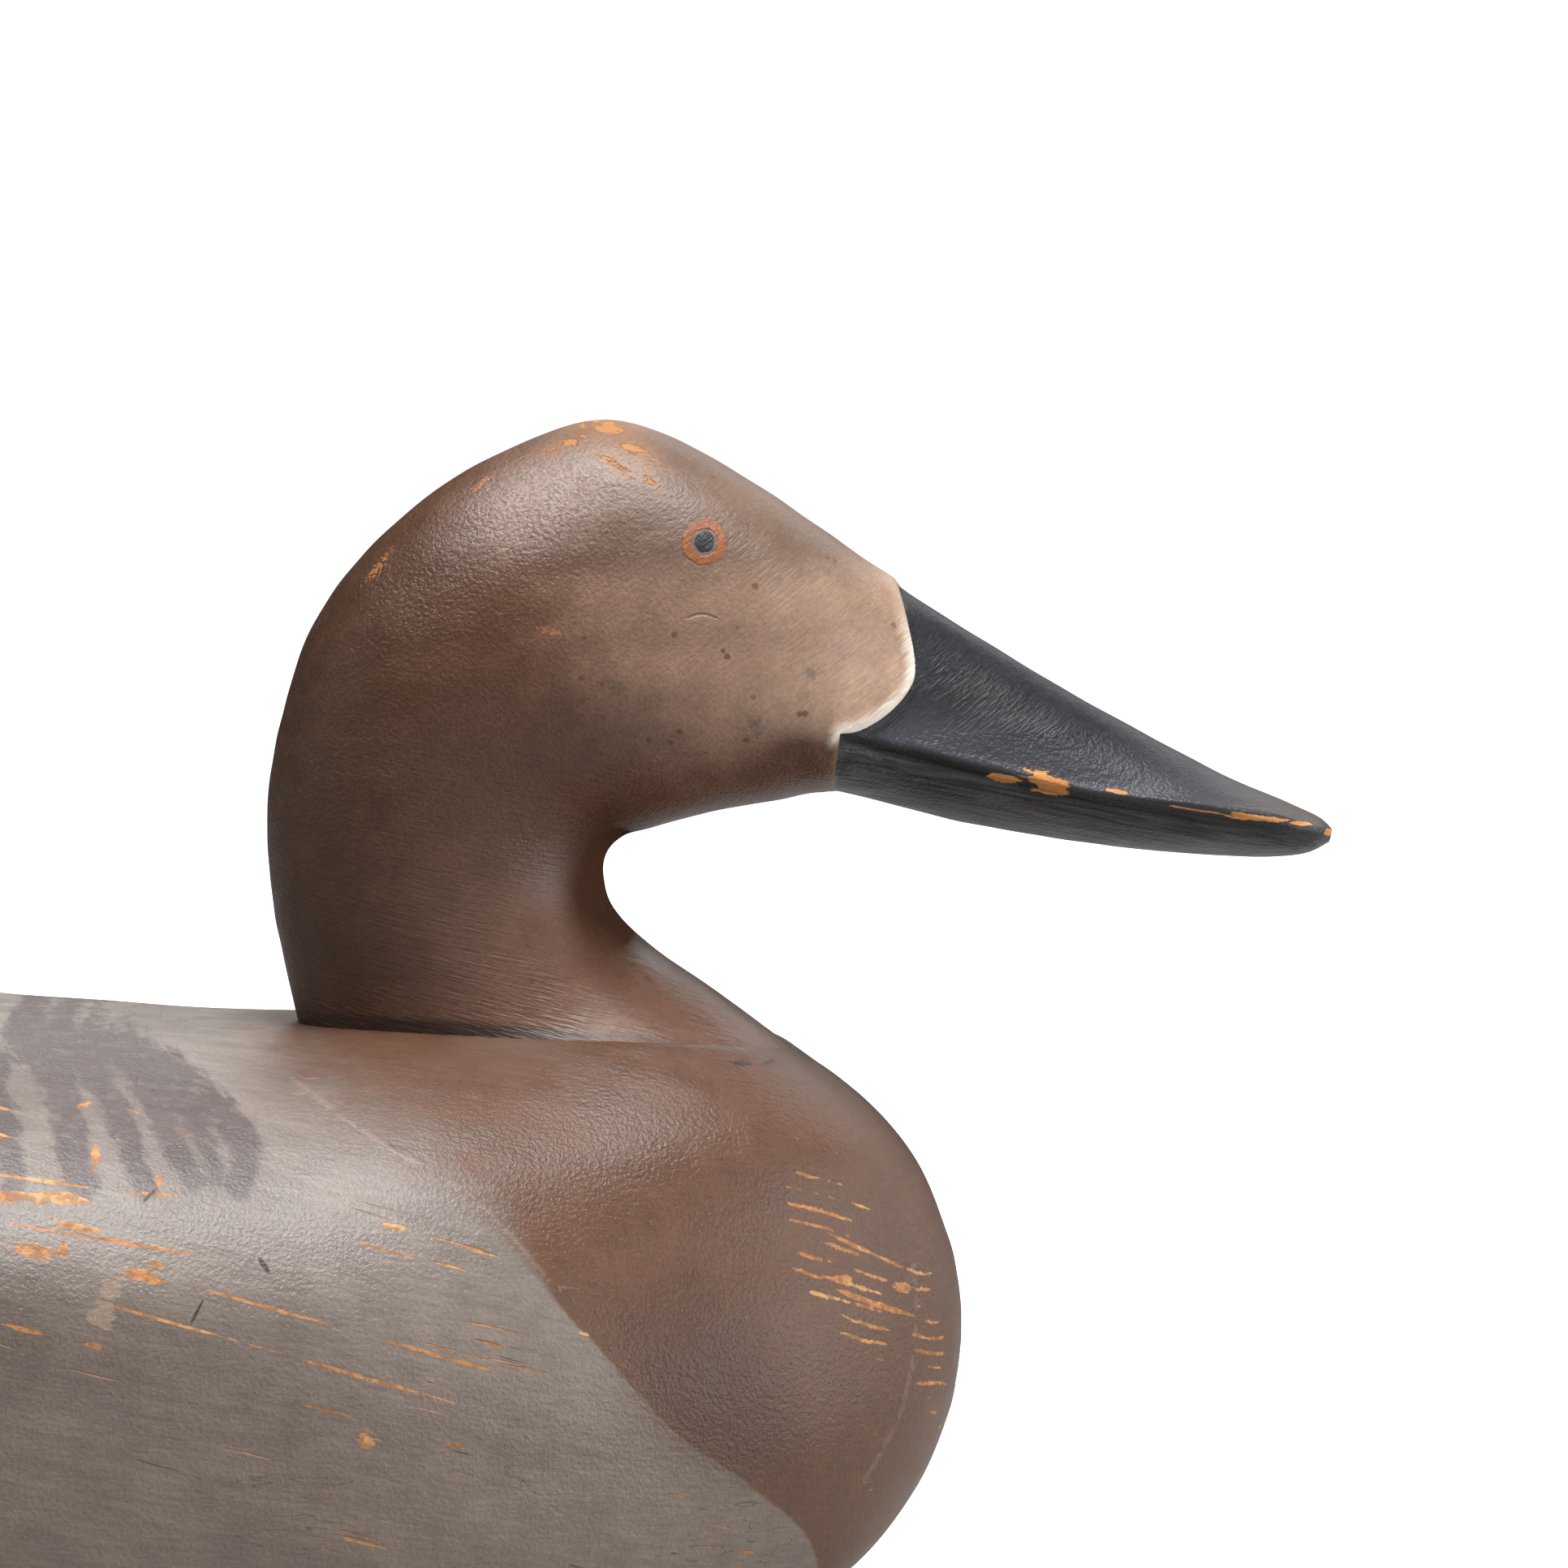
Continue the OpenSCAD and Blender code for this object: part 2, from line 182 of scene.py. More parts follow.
def normals(grid):
    """Outward normals of a lofted grid."""
    along = np.gradient(grid, axis=0)
    around = np.roll(grid, -1, axis=1) - np.roll(grid, 1, axis=1)
    cross = np.cross(around, along)
    cross /= np.maximum(np.linalg.norm(cross, axis=-1, keepdims=True), 1e-9)
    middle = grid.mean(axis=1, keepdims=True)
    outward = np.sign(((grid - middle) * cross).sum(axis=(1, 2)))[:, None, None]
    return cross * np.where(outward == 0, 1, outward)


def waves(points, size, seed):
    """Soft unevenness between -1 and 1, with features about size millimetres wide."""
    draw = np.random.default_rng(seed)
    total = np.zeros(points.shape[:-1])
    for _ in range(10):
        direction = draw.normal(size=3)
        direction /= np.linalg.norm(direction)
        pace = 2 * np.pi / (size * draw.uniform(0.7, 1.6))
        total += np.sin(points @ direction * pace + draw.uniform(0, 2 * np.pi))
    return total / 5.0


def grid_mesh(name, grid, fields):
    """A closed mesh from a lofted grid, with a float attribute for each field."""
    rows, around = grid.shape[:2]
    points = grid.reshape(-1, 3)
    ends = np.stack([grid[0].mean(0), grid[-1].mean(0)])
    here = np.arange(rows * around).reshape(rows, around)
    beside = np.roll(here, -1, axis=1)
    quads = np.stack([here[:-1], beside[:-1], beside[1:], here[1:]], axis=-1).reshape(-1, 4)
    first = [(len(points), b, a) for a, b in zip(here[0].tolist(), beside[0].tolist())]
    last = [(len(points) + 1, a, b) for a, b in zip(here[-1].tolist(), beside[-1].tolist())]
    faces = quads.tolist() + first + last
    mesh = bpy.data.meshes.new(name)
    mesh.from_pydata((np.concatenate([points, ends]) * MM).tolist(), [], faces)
    for key, values in fields.items():
        flat = values.reshape(-1)
        data = np.concatenate([flat, [values[0].mean(), values[-1].mean()]]).astype(np.float32)
        mesh.attributes.new(key, "FLOAT", "POINT").data.foreach_set("value", data)
    tidy = bmesh.new()
    tidy.from_mesh(mesh)
    bmesh.ops.recalc_face_normals(tidy, faces=tidy.faces)
    tidy.to_mesh(mesh)
    tidy.free()
    return mesh


def add_piece(name, mesh, material, slot, *nodes):
    """Puts a mesh in the scene, riding on the decoy, in place of the CAD nodes."""
    piece = bpy.data.objects.new(name, mesh)
    bpy.context.scene.collection.objects.link(piece)
    mesh.shade_smooth()
    mesh.materials.append(material)
    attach(piece, "decoy")
    if nodes:
        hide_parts(*nodes)
    return piece


# ---- Head ----

# Each station: throat side (u, v), nape and crown side (u, v), half-width as a share of the head's,
# place of the widest point, roundness towards the throat, roundness towards the crown.
HEAD_STATIONS = [
    ((0.530, -0.064), (0.034, -0.010), FOOT_HALF, 0.54, 2.2, 2.2),  # inside the body
    ((0.496, -0.004), (0.024, 0.056), FOOT_HALF, 0.54, 2.2, 2.2),   # at the seat
    ((0.424, 0.087), (0.014, 0.135), 0.91, 0.53, 2.2, 2.2),
    ((0.360, 0.163), (0.002, 0.231), 0.90, 0.52, 2.2, 2.2),
    ((0.322, 0.225), (-0.004, 0.336), 0.89, 0.50, 2.2, 2.2),
    ((0.3115, 0.278), (-0.001, 0.438), 0.89, 0.49, 2.2, 2.2),
    ((0.315, 0.319), (0.013, 0.547), 0.90, 0.475, 2.2, 2.2),   # throat
    ((0.331, 0.345), (0.037, 0.666), 0.92, 0.46, 2.2, 2.1),
    ((0.355, 0.356), (0.082, 0.777), 0.945, 0.445, 2.2, 2.05),
    ((0.385, 0.370), (0.159, 0.892), 0.97, 0.43, 2.2, 2.0),
    ((0.420, 0.384), (0.244, 0.968), 0.99, 0.42, 2.25, 1.95),
    ((0.450, 0.393), (0.313, 0.999), 1.00, 0.43, 2.3, 2.05),   # crown
    ((0.475, 0.400), (0.378, 0.971), 0.985, 0.44, 2.3, 2.25),
    ((0.500, 0.409), (0.450, 0.902), 0.95, 0.45, 2.3, 2.4),
    ((0.515, 0.4125), (0.515, 0.828), 0.89, 0.42, 2.3, 2.4),
    ((0.532, 0.4125), (0.583, 0.746), 0.78, 0.32, 2.0, 2.2),   # root of the bill
    ((0.583, 0.392), (0.644, 0.681), 0.63, 0.31, 1.6, 2.0),
    ((0.648, 0.364), (0.724, 0.595), 0.575, 0.36, 1.45, 1.95),
    ((0.755, 0.333), (0.8155, 0.508), 0.56, 0.40, 1.4, 1.9),
    ((0.846, 0.3155), (0.903, 0.429), 0.55, 0.52, 1.5, 1.8),
    ((0.922, 0.309), (0.9525, 0.393), 0.49, 0.62, 1.6, 1.8),
    ((0.968, 0.315), (0.983, 0.372), 0.34, 0.66, 1.8, 2.0),
    ((0.992, 0.332), (0.995, 0.354), 0.12, 0.60, 2.0, 2.0),    # tip of the bill
]
HEAD_COUNTS = [8] + [22] * 5 + [24] * 8 + [36, 30] + [26] * 4 + [12, 8]
HEAD_AROUND = 192

# The carved edge of the face, from the forehead down and back to the corner of the mouth, then down.
FACE_EDGE = [(0.553, 0.841), (0.586, 0.745), (0.596, 0.692), (0.604, 0.620), (0.598, 0.584),
             (0.578, 0.548), (0.552, 0.524), (0.533, 0.519)]
CHIN_EDGE = [(0.533, 0.519), (0.529, 0.472), (0.528, 0.417), (0.5255, 0.33)]
BILL_EDGE = [(0.529, 0.525), (0.544, 0.5185), (0.650, 0.470), (0.7555, 0.425), (0.870, 0.393),
             (0.977, 0.362)]
FACE_SOFT_EDGE = [(0.533, 0.519), (0.477, 0.533), (0.431, 0.549), (0.394, 0.579), (0.342, 0.654),
                  (0.315, 0.729), (0.319, 0.803), (0.311, 0.877), (0.280, 0.950), (0.26, 1.03)]
# Worn places: u, v, half-length, half-height, tilt in degrees.
FLECKS = [(0.266, 0.680, 3.2, 0.6, -14), (0.104, 0.775, 4.5, 0.9, 50), (0.20, 0.905, 3.0, 0.5, 40),
          (0.60, 0.70, 0.8, 0.4, 40), (0.555, 0.60, 0.7, 0.4, 60), (0.42, 0.72, 0.6, 0.3, -20)]
CROWN_WEAR = [(0.314, 0.990, 5.0, 1.3, 0), (0.340, 0.960, 3.6, 1.5, -30), (0.326, 0.936, 3.4, 1.1, -30),
              (0.356, 0.914, 1.6, 0.8, -40), (0.280, 0.967, 4.0, 0.8, 20)]
BILL_WEAR = [(0.726, 0.437, 3.0, 1.7, -13), (0.690, 0.443, 3.4, 0.6, -10), (0.79, 0.425, 1.6, 0.25, -12),
             (0.870, 0.394, 5.0, 0.2, -9), (0.9225, 0.382, 4.6, 0.5, -8), (0.961, 0.371, 1.8, 0.3, -8),
             (0.992, 0.350, 0.9, 0.5, -20)]
# Painted shade at the throat and a painted sheen on the crown's sides, given in the same way.
THROAT_SHADE = (0.322, 0.27, 9.0, 15.0, 0)
PAINTED_CROWN_SHEEN = (0.262, 0.885, 19.0, 9.0, 26)
# Smudges: place and reach.
SMUDGES = [(head_at(0.5065, 0.615), 1.8), (head_at(0.454, 0.533), 2.6)]
EYE = head_at(0.4073, 0.8191)
DENT = head_at(0.405, 0.672)
DENT_R = 3.1


def head_ribs():
    rows = []
    for low, high, half, widest, below, above in HEAD_STATIONS:
        rows.append([*head_at(*low), *head_at(*high), half * head_half, widest, below, above])
    return through(rows, HEAD_COUNTS)


def neck_flare(grid):
    """The neck spreads where it meets the body, more towards the breast."""
    spread, height, falloff = 9.0, 17.0, 3.2
    x, y, z = grid[..., 0], grid[..., 1], grid[..., 2]
    above_seat = np.clip((z - seat_z(x)) / height, 0.0, 1.0)
    forward = smooth(seat_back[0] + 14, seat_front[0] - 4, x)
    on_neck = (x < seat_front[0] + 4) & (z < seat_z(x) + height + 3)
    spread = spread * forward * (1.0 - above_seat) ** falloff * np.where(on_neck, 1, 0)
    grid[..., 1] = y + spread * y / head_half
    return grid


def face_relief(face_d, above_chin, z):
    """The face stands proud of the bill along its edge, with a rounded bead that ends at the brow."""
    raised = 0.45 * swell(face_d, 9) + 0.3 * bulge(face_d - 1.0, 0.8)
    cut_back = -0.95 * swell(face_d, 8)
    on_face = smooth(-0.45, 0.45, face_d)
    below_brow = 1 - 0.97 * smooth(head_at(0, 0.66)[1], head_at(0, 0.79)[1], z)
    return (raised * on_face + cut_back * (1 - on_face)) * (0.12 + 0.88 * above_chin) * below_brow


def bill_relief(face_d, bill_d, x):
    """The upper bill ends in a sharp edge over an undercut, and both end before the tip."""
    on_bill = smooth(0.5, -2.0, face_d) * smooth(head_at(0.99, 0)[0], head_at(0.93, 0)[0], x)
    overhang = smooth(-0.6, 0.3, bill_d) * swell(np.maximum(bill_d, 0), 2.6)
    return on_bill * (0.35 * bulge(bill_d, 0.7) + overhang - 0.75 * bulge(bill_d + 1.7, 0.9))


def make_head():
    grid = neck_flare(loft(head_ribs(), HEAD_AROUND))
    x, z = grid[..., 0], grid[..., 2]
    edge = np.concatenate([curve(head_at, FACE_EDGE), curve(head_at, CHIN_EDGE)])
    behind = places(head_at, [(0.6, 0.28), (0.6, -0.3), (-0.3, -0.3), (-0.3, 1.4), (0.553, 1.4)])
    face_d = signed(edge, behind, x, z)
    over = places(head_at, [(1.3, 0.355), (1.3, 1.3), (0.0, 1.3), (0.0, 0.508)])
    bill_d = signed(curve(head_at, BILL_EDGE), over, x, z)
    ahead = places(head_at, [(1.2, 1.02), (1.2, 0.502)])
    soft_d = signed(curve(head_at, FACE_SOFT_EDGE), ahead, x, z)
    above_chin = smooth(head_at(0, 0.49)[1], head_at(0, 0.525)[1], z)

    relief = face_relief(face_d, above_chin, z) + bill_relief(face_d, bill_d, x)
    knife_marks = 0.14 * waves(grid, 24, 3)
    rasp_marks = 0.05 * waves(grid, 7, 5)
    relief = (relief + knife_marks + rasp_marks) * smooth(0, 6, z - seat_z(x) + 2)
    grid += normals(grid) * relief[..., None]

    # The face's colour ends softly at the back, and more softly further back.
    soft_by = 2.5 + 15.0 * smooth(head_at(0.50, 0)[0], head_at(0.40, 0)[0], x)
    fields = {
        "face_d": face_d,
        "bill_d": bill_d,
        "lip": above_chin,
        "face": smooth(-1.3 * soft_by, 0.85 * soft_by, soft_d),
    }
    return grid_mesh("carved_head", grid, fields)


# ---- Body ----

# Each station: place back from the breast, then its lowest and highest points as shares of the
# height of the neck seat, half-width as a share of the body's, widest point, roundness below, above.
BREAST_R = 0.1216
BREAST_MID = 0.523
BREAST_STATIONS = [
    (BREAST_R * (1 - np.cos(a)), BREAST_MID - 0.515 * np.sin(a), BREAST_MID + 0.487 * np.sin(a),
     np.sqrt(1 - (1 - 0.3 * (1 - np.cos(a))) ** 2), 0.5 - 0.12 * np.sin(a), 2.1, 2.0)
    for a in np.radians([3, 9, 16, 30, 46, 64])
]
UNDERSIDE = -0.045
BODY_STATIONS = BREAST_STATIONS + [
    (0.122, UNDERSIDE, 0.998, 0.715, 0.42, 2.8, 2.0),
    (0.184, UNDERSIDE, 1.012, 0.84, 0.45, 3.3, 2.1),
    (0.2376, UNDERSIDE, 0.995, 0.91, 0.49, 3.5, 2.2),
    (0.324, UNDERSIDE, 1.016, 0.98, 0.52, 3.7, 2.3),
    (0.432, UNDERSIDE, 1.050, 1.00, 0.53, 3.7, 2.3),
    (0.541, UNDERSIDE, 1.057, 0.985, 0.53, 3.7, 2.3),
    (0.649, UNDERSIDE, 1.014, 0.91, 0.52, 3.3, 2.2),
    (0.757, 0.000, 0.908, 0.76, 0.46, 2.7, 2.1),
    (0.865, 0.14, 0.760, 0.54, 0.50, 2.4, 2.1),
    (0.946, 0.326, 0.640, 0.36, 0.52, 2.3, 2.2),
    (0.985, 0.435, 0.568, 0.22, 0.5, 2.2, 2.2),
    (0.999, 0.480, 0.528, 0.08, 0.5, 2, 2),
]
BODY_COUNTS = [5, 6, 12, 18, 22, 24, 26, 24, 30, 32, 26, 26, 24, 24, 18, 10, 6]
BODY_AROUND = 288

BROWN_EDGE = [(0.2607, 1.074), (0.246, 0.907), (0.196, 0.794), (0.167, 0.688), (0.140, 0.530),
              (0.130, 0.481), (0.115, 0.399), (0.098, 0.314), (0.075, 0.229), (0.054, 0.115),
              (0.0505, -0.051), (0.049, -0.25)]
# Raised edges of old paint: along the upper part of the brown, and down the breast.
RIDGES = [[(0.237, 0.878), (0.205, 0.795), (0.171, 0.704), (0.142, 0.560)],
          [(0.0174, 0.549), (0.016, 0.445), (0.022, 0.318), (0.036, 0.205)]]
# Painted shade runs along this line, in the crease behind the foot of the neck.
NECK_SHADE = [(0.243, 0.94), (0.17, 0.92), (0.13, 0.905)]
# Combed strokes over the back: the places each runs through, and its half-width.
STROKES = [
    ([(0.3396, 0.907), (0.3395, 0.871), (0.334, 0.824), (0.331, 0.771), (0.330, 0.74)], 1.5),
    ([(0.335, 0.943), (0.321, 0.8985), (0.314, 0.843), (0.310, 0.785), (0.306, 0.745)], 1.9),
    ([(0.322, 0.942), (0.304, 0.886), (0.295, 0.830), (0.289, 0.775), (0.285, 0.738)], 1.4),
    ([(0.311, 0.933), (0.294, 0.899), (0.285, 0.859), (0.278, 0.809), (0.268, 0.743)], 1.3),
    ([(0.299, 0.916), (0.2795, 0.884), (0.266, 0.850), (0.255, 0.811), (0.2505, 0.780),
      (0.253, 0.7395)], 1.9),
    ([(0.2815, 0.867), (0.272, 0.829), (0.265, 0.796), (0.2605, 0.748)], 1.0),
]
# Behind the first group the strokes repeat, at this pace back and with this drop.
STROKE_GROUPS = 5
STROKE_PACE = 0.105
STROKE_DROP = 0.012
BODY_WEAR = [(0.3026, 0.784, 0.8, 1.4, 10), (0.318, 0.728, 6.4, 0.9, -3), (0.3104, 0.6865, 3.4, 0.7, -12),
             (0.312, 0.6545, 0.7, 1.1, 0), (0.322, 0.648, 3.2, 0.8, -8), (0.2845, 0.612, 4.2, 0.9, -12),
             (0.280, 0.624, 1.2, 0.5, -14), (0.3255, 0.533, 3.0, 0.4, -14), (0.3007, 0.505, 1.1, 0.4, -10),
             (0.133, 0.494, 1.1, 0.3, -14), (0.2803, 0.745, 0.5, 1.0, 0), (0.3087, 0.8516, 1.2, 0.3, 15),
             (0.208, 0.344, 1.1, 1.5, 20), (0.0425, 0.545, 2.0, 0.7, -26), (0.0210, 0.522, 1.6, 0.7, -20),
             (0.46, 0.60, 9.0, 1.2, -12), (0.62, 0.44, 10.0, 1.0, -8), (0.80, 0.66, 8.0, 1.2, 10),
             (0.97, 0.42, 5.0, 2.5, 20)]
PRIMER = [(0.322, 0.646, 2.6, 1.2, -8), (0.2955, 0.587, 2.4, 1.4, 30), (0.298, 0.552, 1.9, 2.4, 20),
          (0.52, 0.36, 3.0, 2.0, 0), (0.72, 0.55, 2.2, 2.0, 0)]
# Short open cracks where the neck runs into the breast, and gouges in the side.
SLITS = [(0.0785, 0.884, 1.7, 0.45, -8), (0.0690, 0.880, 1.1, 0.3, 6), (0.283, 0.728, 1.7, 0.4, 42),
         (0.243, 0.618, 1.7, 0.5, -50), (0.266, 0.552, 2.2, 0.3, 62)]
# Where the breast has short worn dashes, a darker patch on the breast, and painted shade along the side.
DASHED = [(0.044, 0.57, 25.0, 10.0, -66), (0.012, 0.42, 24.0, 4.0, -84)]
DEEP_BREAST = (0.090, 0.40, 21.0, 14.0, -55)
PAINTED_SIDE_SHADE = (0.34, 0.54, 62.0, 12.0, -9)
# Long checks along the grain: both ends and the half-width of the bared wood.
CHECKS = [((0.275, 0.6025), (0.2125, 0.517), 0.25), ((0.2125, 0.517), (0.155, 0.431), 0.3),
          ((0.303, 0.577), (0.244, 0.496), 0.25), ((0.244, 0.496), (0.169, 0.386), 0.28),
          ((0.340, 0.700), (0.257, 0.631), 0.3), ((0.340, 0.764), (0.300, 0.738), 0.3),
          ((0.300, 0.737), (0.268, 0.722), 0.2), ((0.213, 0.652), (0.188, 0.617), 0.22),
          ((0.204, 0.675), (0.1925, 0.664), 0.4), ((0.234, 0.4105), (0.208, 0.378), 0.3),
          ((0.182, 0.3385), (0.1726, 0.3236), 0.3), ((0.0541, 0.637), (0.017, 0.540), 0.3),
          ((0.0459, 0.533), (0.0148, 0.466), 0.45)]


def check_ovals():
    """The long checks as thin ovals."""
    rows = []
    for start, end, half in CHECKS:
        run = body_at(*end) - body_at(*start)
        middle = (np.array(start) + np.array(end)) / 2
        rows.append((*middle, np.hypot(*run) / 2, half, np.degrees(np.arctan2(run[1], run[0]))))
    return rows


def body_ribs():
    rows = []
    for back, low, high, half, widest, below, above in BODY_STATIONS:
        x = shell_high[0] - back * body_l
        rows.append([x, board_low[2] + low * seat_h, x, board_low[2] + high * seat_h,
                     half * body_half, widest, below, above])
    return through(rows, BODY_COUNTS)


def fair_into_neck(grid):
    """Raises the body into a low seat round the foot of the neck, smooth towards the breast."""
    x, y, z = grid[..., 0], grid[..., 1], grid[..., 2]
    # The foot's outline from above: ratio is 1 on it, and outside is the distance beyond it.
    middle = seat_front[0] - 0.54 * (seat_front[0] - seat_back[0])
    reach = np.where(x > middle, seat_front[0] - middle, middle - seat_back[0])
    across = head_half * FOOT_HALF + 7.7 * smooth(seat_back[0] + 14, seat_front[0] - 4, x)
    ratio = np.hypot((x - middle) / reach, y / across)
    outside = (ratio - 1.0) * np.hypot(x - middle, y) / np.maximum(ratio, 1e-6)

    # A cone that slopes away from the foot, steeper in front, joined to the back by a rounded valley.
    forward = smooth(seat_back[0], seat_front[0], x)
    beside = np.minimum(np.hypot(y, 3.0) - 3.0, across)
    slope = 0.34 + 0.45 * forward
    cone = seat_z(x) - 0.4 * (1 - forward) + SEAT_SIDE_RISE * beside - slope * outside
    valley = 2.5
    raised = 0.5 * (z + cone + np.sqrt((z - cone) ** 2 + valley**2))
    raised -= (raised - np.maximum(z, cone)) * np.exp(-np.maximum(outside, 0) / 9)

    # Only the top of the body near the neck is raised. Under the foot it is sunk out of the way.
    out, down, sink = 40, 25, 3.0
    near = (outside < out) & (z > seat_z(x) - down)
    share = smooth(out, 4, outside) * smooth(seat_front[0] + 24, seat_front[0] + 6, x)
    share = share * smooth(seat_z(x) - down, seat_z(x) - 12, z)
    lifted = np.where(near, z + share * np.maximum(raised - z, 0.0), z)
    grid[..., 2] = lifted - np.where(near, sink * smooth(1.0, 0.86, ratio), 0.0)
    return grid


def stroke_field(x, z):
    """How far each point is inside the nearest combed stroke."""
    nearest = np.full(x.shape, -9.0)
    for k in range(STROKE_GROUPS + 1):
        for shares, half in STROKES[1 if k else 0:]:
            later = [(u + STROKE_PACE * k, v - STROKE_DROP * k * k) for u, v in shares]
            nearest = np.maximum(nearest, half - distance_to(curve(body_at, later), x, z))
    return nearest


def ridge_field(x, z):
    """Distance to the nearest paint ridge, positive in front of it."""
    nearest = np.full(x.shape, 20.0)
    for shares in RIDGES:
        line = curve(body_at, shares)
        ahead = [line[-1] + np.array([60.0, 0.0]), line[0] + np.array([60.0, 0.0])]
        beside = signed(line, ahead, x, z)
        nearest = np.where(np.abs(beside) < np.abs(nearest), beside, nearest)
    return nearest


def make_body():
    grid = fair_into_neck(loft(body_ribs(), BODY_AROUND))
    x, z = grid[..., 0], grid[..., 2]
    rise = 0.30 * waves(grid, 60, 11) + 0.07 * waves(grid, 16, 12)
    rise *= smooth(board_high[2] - 2, board_high[2] + 14, z)
    grid += normals(grid) * rise[..., None]
    in_front = places(body_at, [(-0.3, -0.25), (-0.3, 1.6), (0.2607, 1.6)])
    from_neck = np.clip(distance_to(curve(body_at, NECK_SHADE), x, z) - 0.2, 0, 99)
    fields = {
        "brown_d": signed(curve(body_at, BROWN_EDGE), in_front, x, z),
        "stroke_d": stroke_field(x, z),
        "ridge_d": ridge_field(x, z),
        "neck_shade": swell(from_neck, 1.5),
    }
    return grid_mesh("carved_body", grid, fields)


def slice_of(name, mesh, low_z, high_z, inset=0.0):
    """The part of a closed mesh between two levels, closed with flat faces."""
    cut = bmesh.new()
    cut.from_mesh(mesh)
    for level, normal in ((low_z, (0, 0, -1)), (high_z, (0, 0, 1))):
        if level is None:
            continue
        parts = list(cut.verts) + list(cut.edges) + list(cut.faces)
        done = bmesh.ops.bisect_plane(cut, geom=parts, plane_co=(0, 0, level * MM),
                                      plane_no=normal, clear_outer=True)
        rim = [e for e in done["geom_cut"] if isinstance(e, bmesh.types.BMEdge)]
        bmesh.ops.edgeloop_fill(cut, edges=rim)
    bmesh.ops.recalc_face_normals(cut, faces=cut.faces)
    if inset:
        for vert in cut.verts:
            size = vert.co.xy.length
            vert.co.xy *= (size - inset * MM) / max(size, MM)
    out = bpy.data.meshes.new(name)
    cut.to_mesh(out)
    cut.free()
    return out


def sink_nails(piece, node):
    """Cuts a round pocket up to the head of each nail, so that the nails show."""
    apart, gap, depth, overlap = 8 * MM, 0.05 * MM, 6 * MM, 0.2 * MM
    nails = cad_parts[node]
    corners = np.array([nails.matrix_world @ v.co for v in nails.data.vertices])
    cutter = bmesh.new()
    while len(corners):
        one_nail = np.hypot(*(corners - corners[0]).T[:2]) < apart
        low, high = corners[one_nail].min(axis=0), corners[one_nail].max(axis=0)
        corners = corners[~one_nail]
        middle = (low + high) / 2
        radius = (high[0] - low[0]) / 2 + gap
        place = Matrix.Translation((middle[0], middle[1], low[2] + overlap - depth / 2))
        bmesh.ops.create_cone(cutter, cap_ends=True, segments=40, radius1=radius, radius2=radius,
                              depth=depth, matrix=place)
    mesh = bpy.data.meshes.new("nail_pockets")
    cutter.to_mesh(mesh)
    cutter.free()
    tool = bpy.data.objects.new("nail_pockets", mesh)
    bpy.context.scene.collection.objects.link(tool)
    cut = piece.modifiers.new("nail_pockets", "BOOLEAN")
    cut.object = tool
    cut.solver = "EXACT"
    shaped = piece.evaluated_get(bpy.context.evaluated_depsgraph_get())
    piece.data = bpy.data.meshes.new_from_object(shaped)
    piece.modifiers.clear()
    bpy.data.objects.remove(tool)


def soften(mesh, degrees=40):
    """Smooth shading with sharp edges kept where the surface turns by more than an angle."""
    mesh.shade_smooth()
    mesh.set_sharp_from_angle(angle=np.radians(degrees))


# ---- Materials ----


def linear(display):
    """A display colour, 0 to 255, as linear light."""
    parts = []
    for c in display:
        c = c / 255
        parts.append(c / 12.92 if c <= 0.04045 else ((c + 0.055) / 1.055) ** 2.4)
    return (*parts, 1.0)


# The marks on the left side are those of the right side moved by this, so the sides are not worn alike.
LEFT_SHIFT = (17 * MM, 0, 5 * MM)


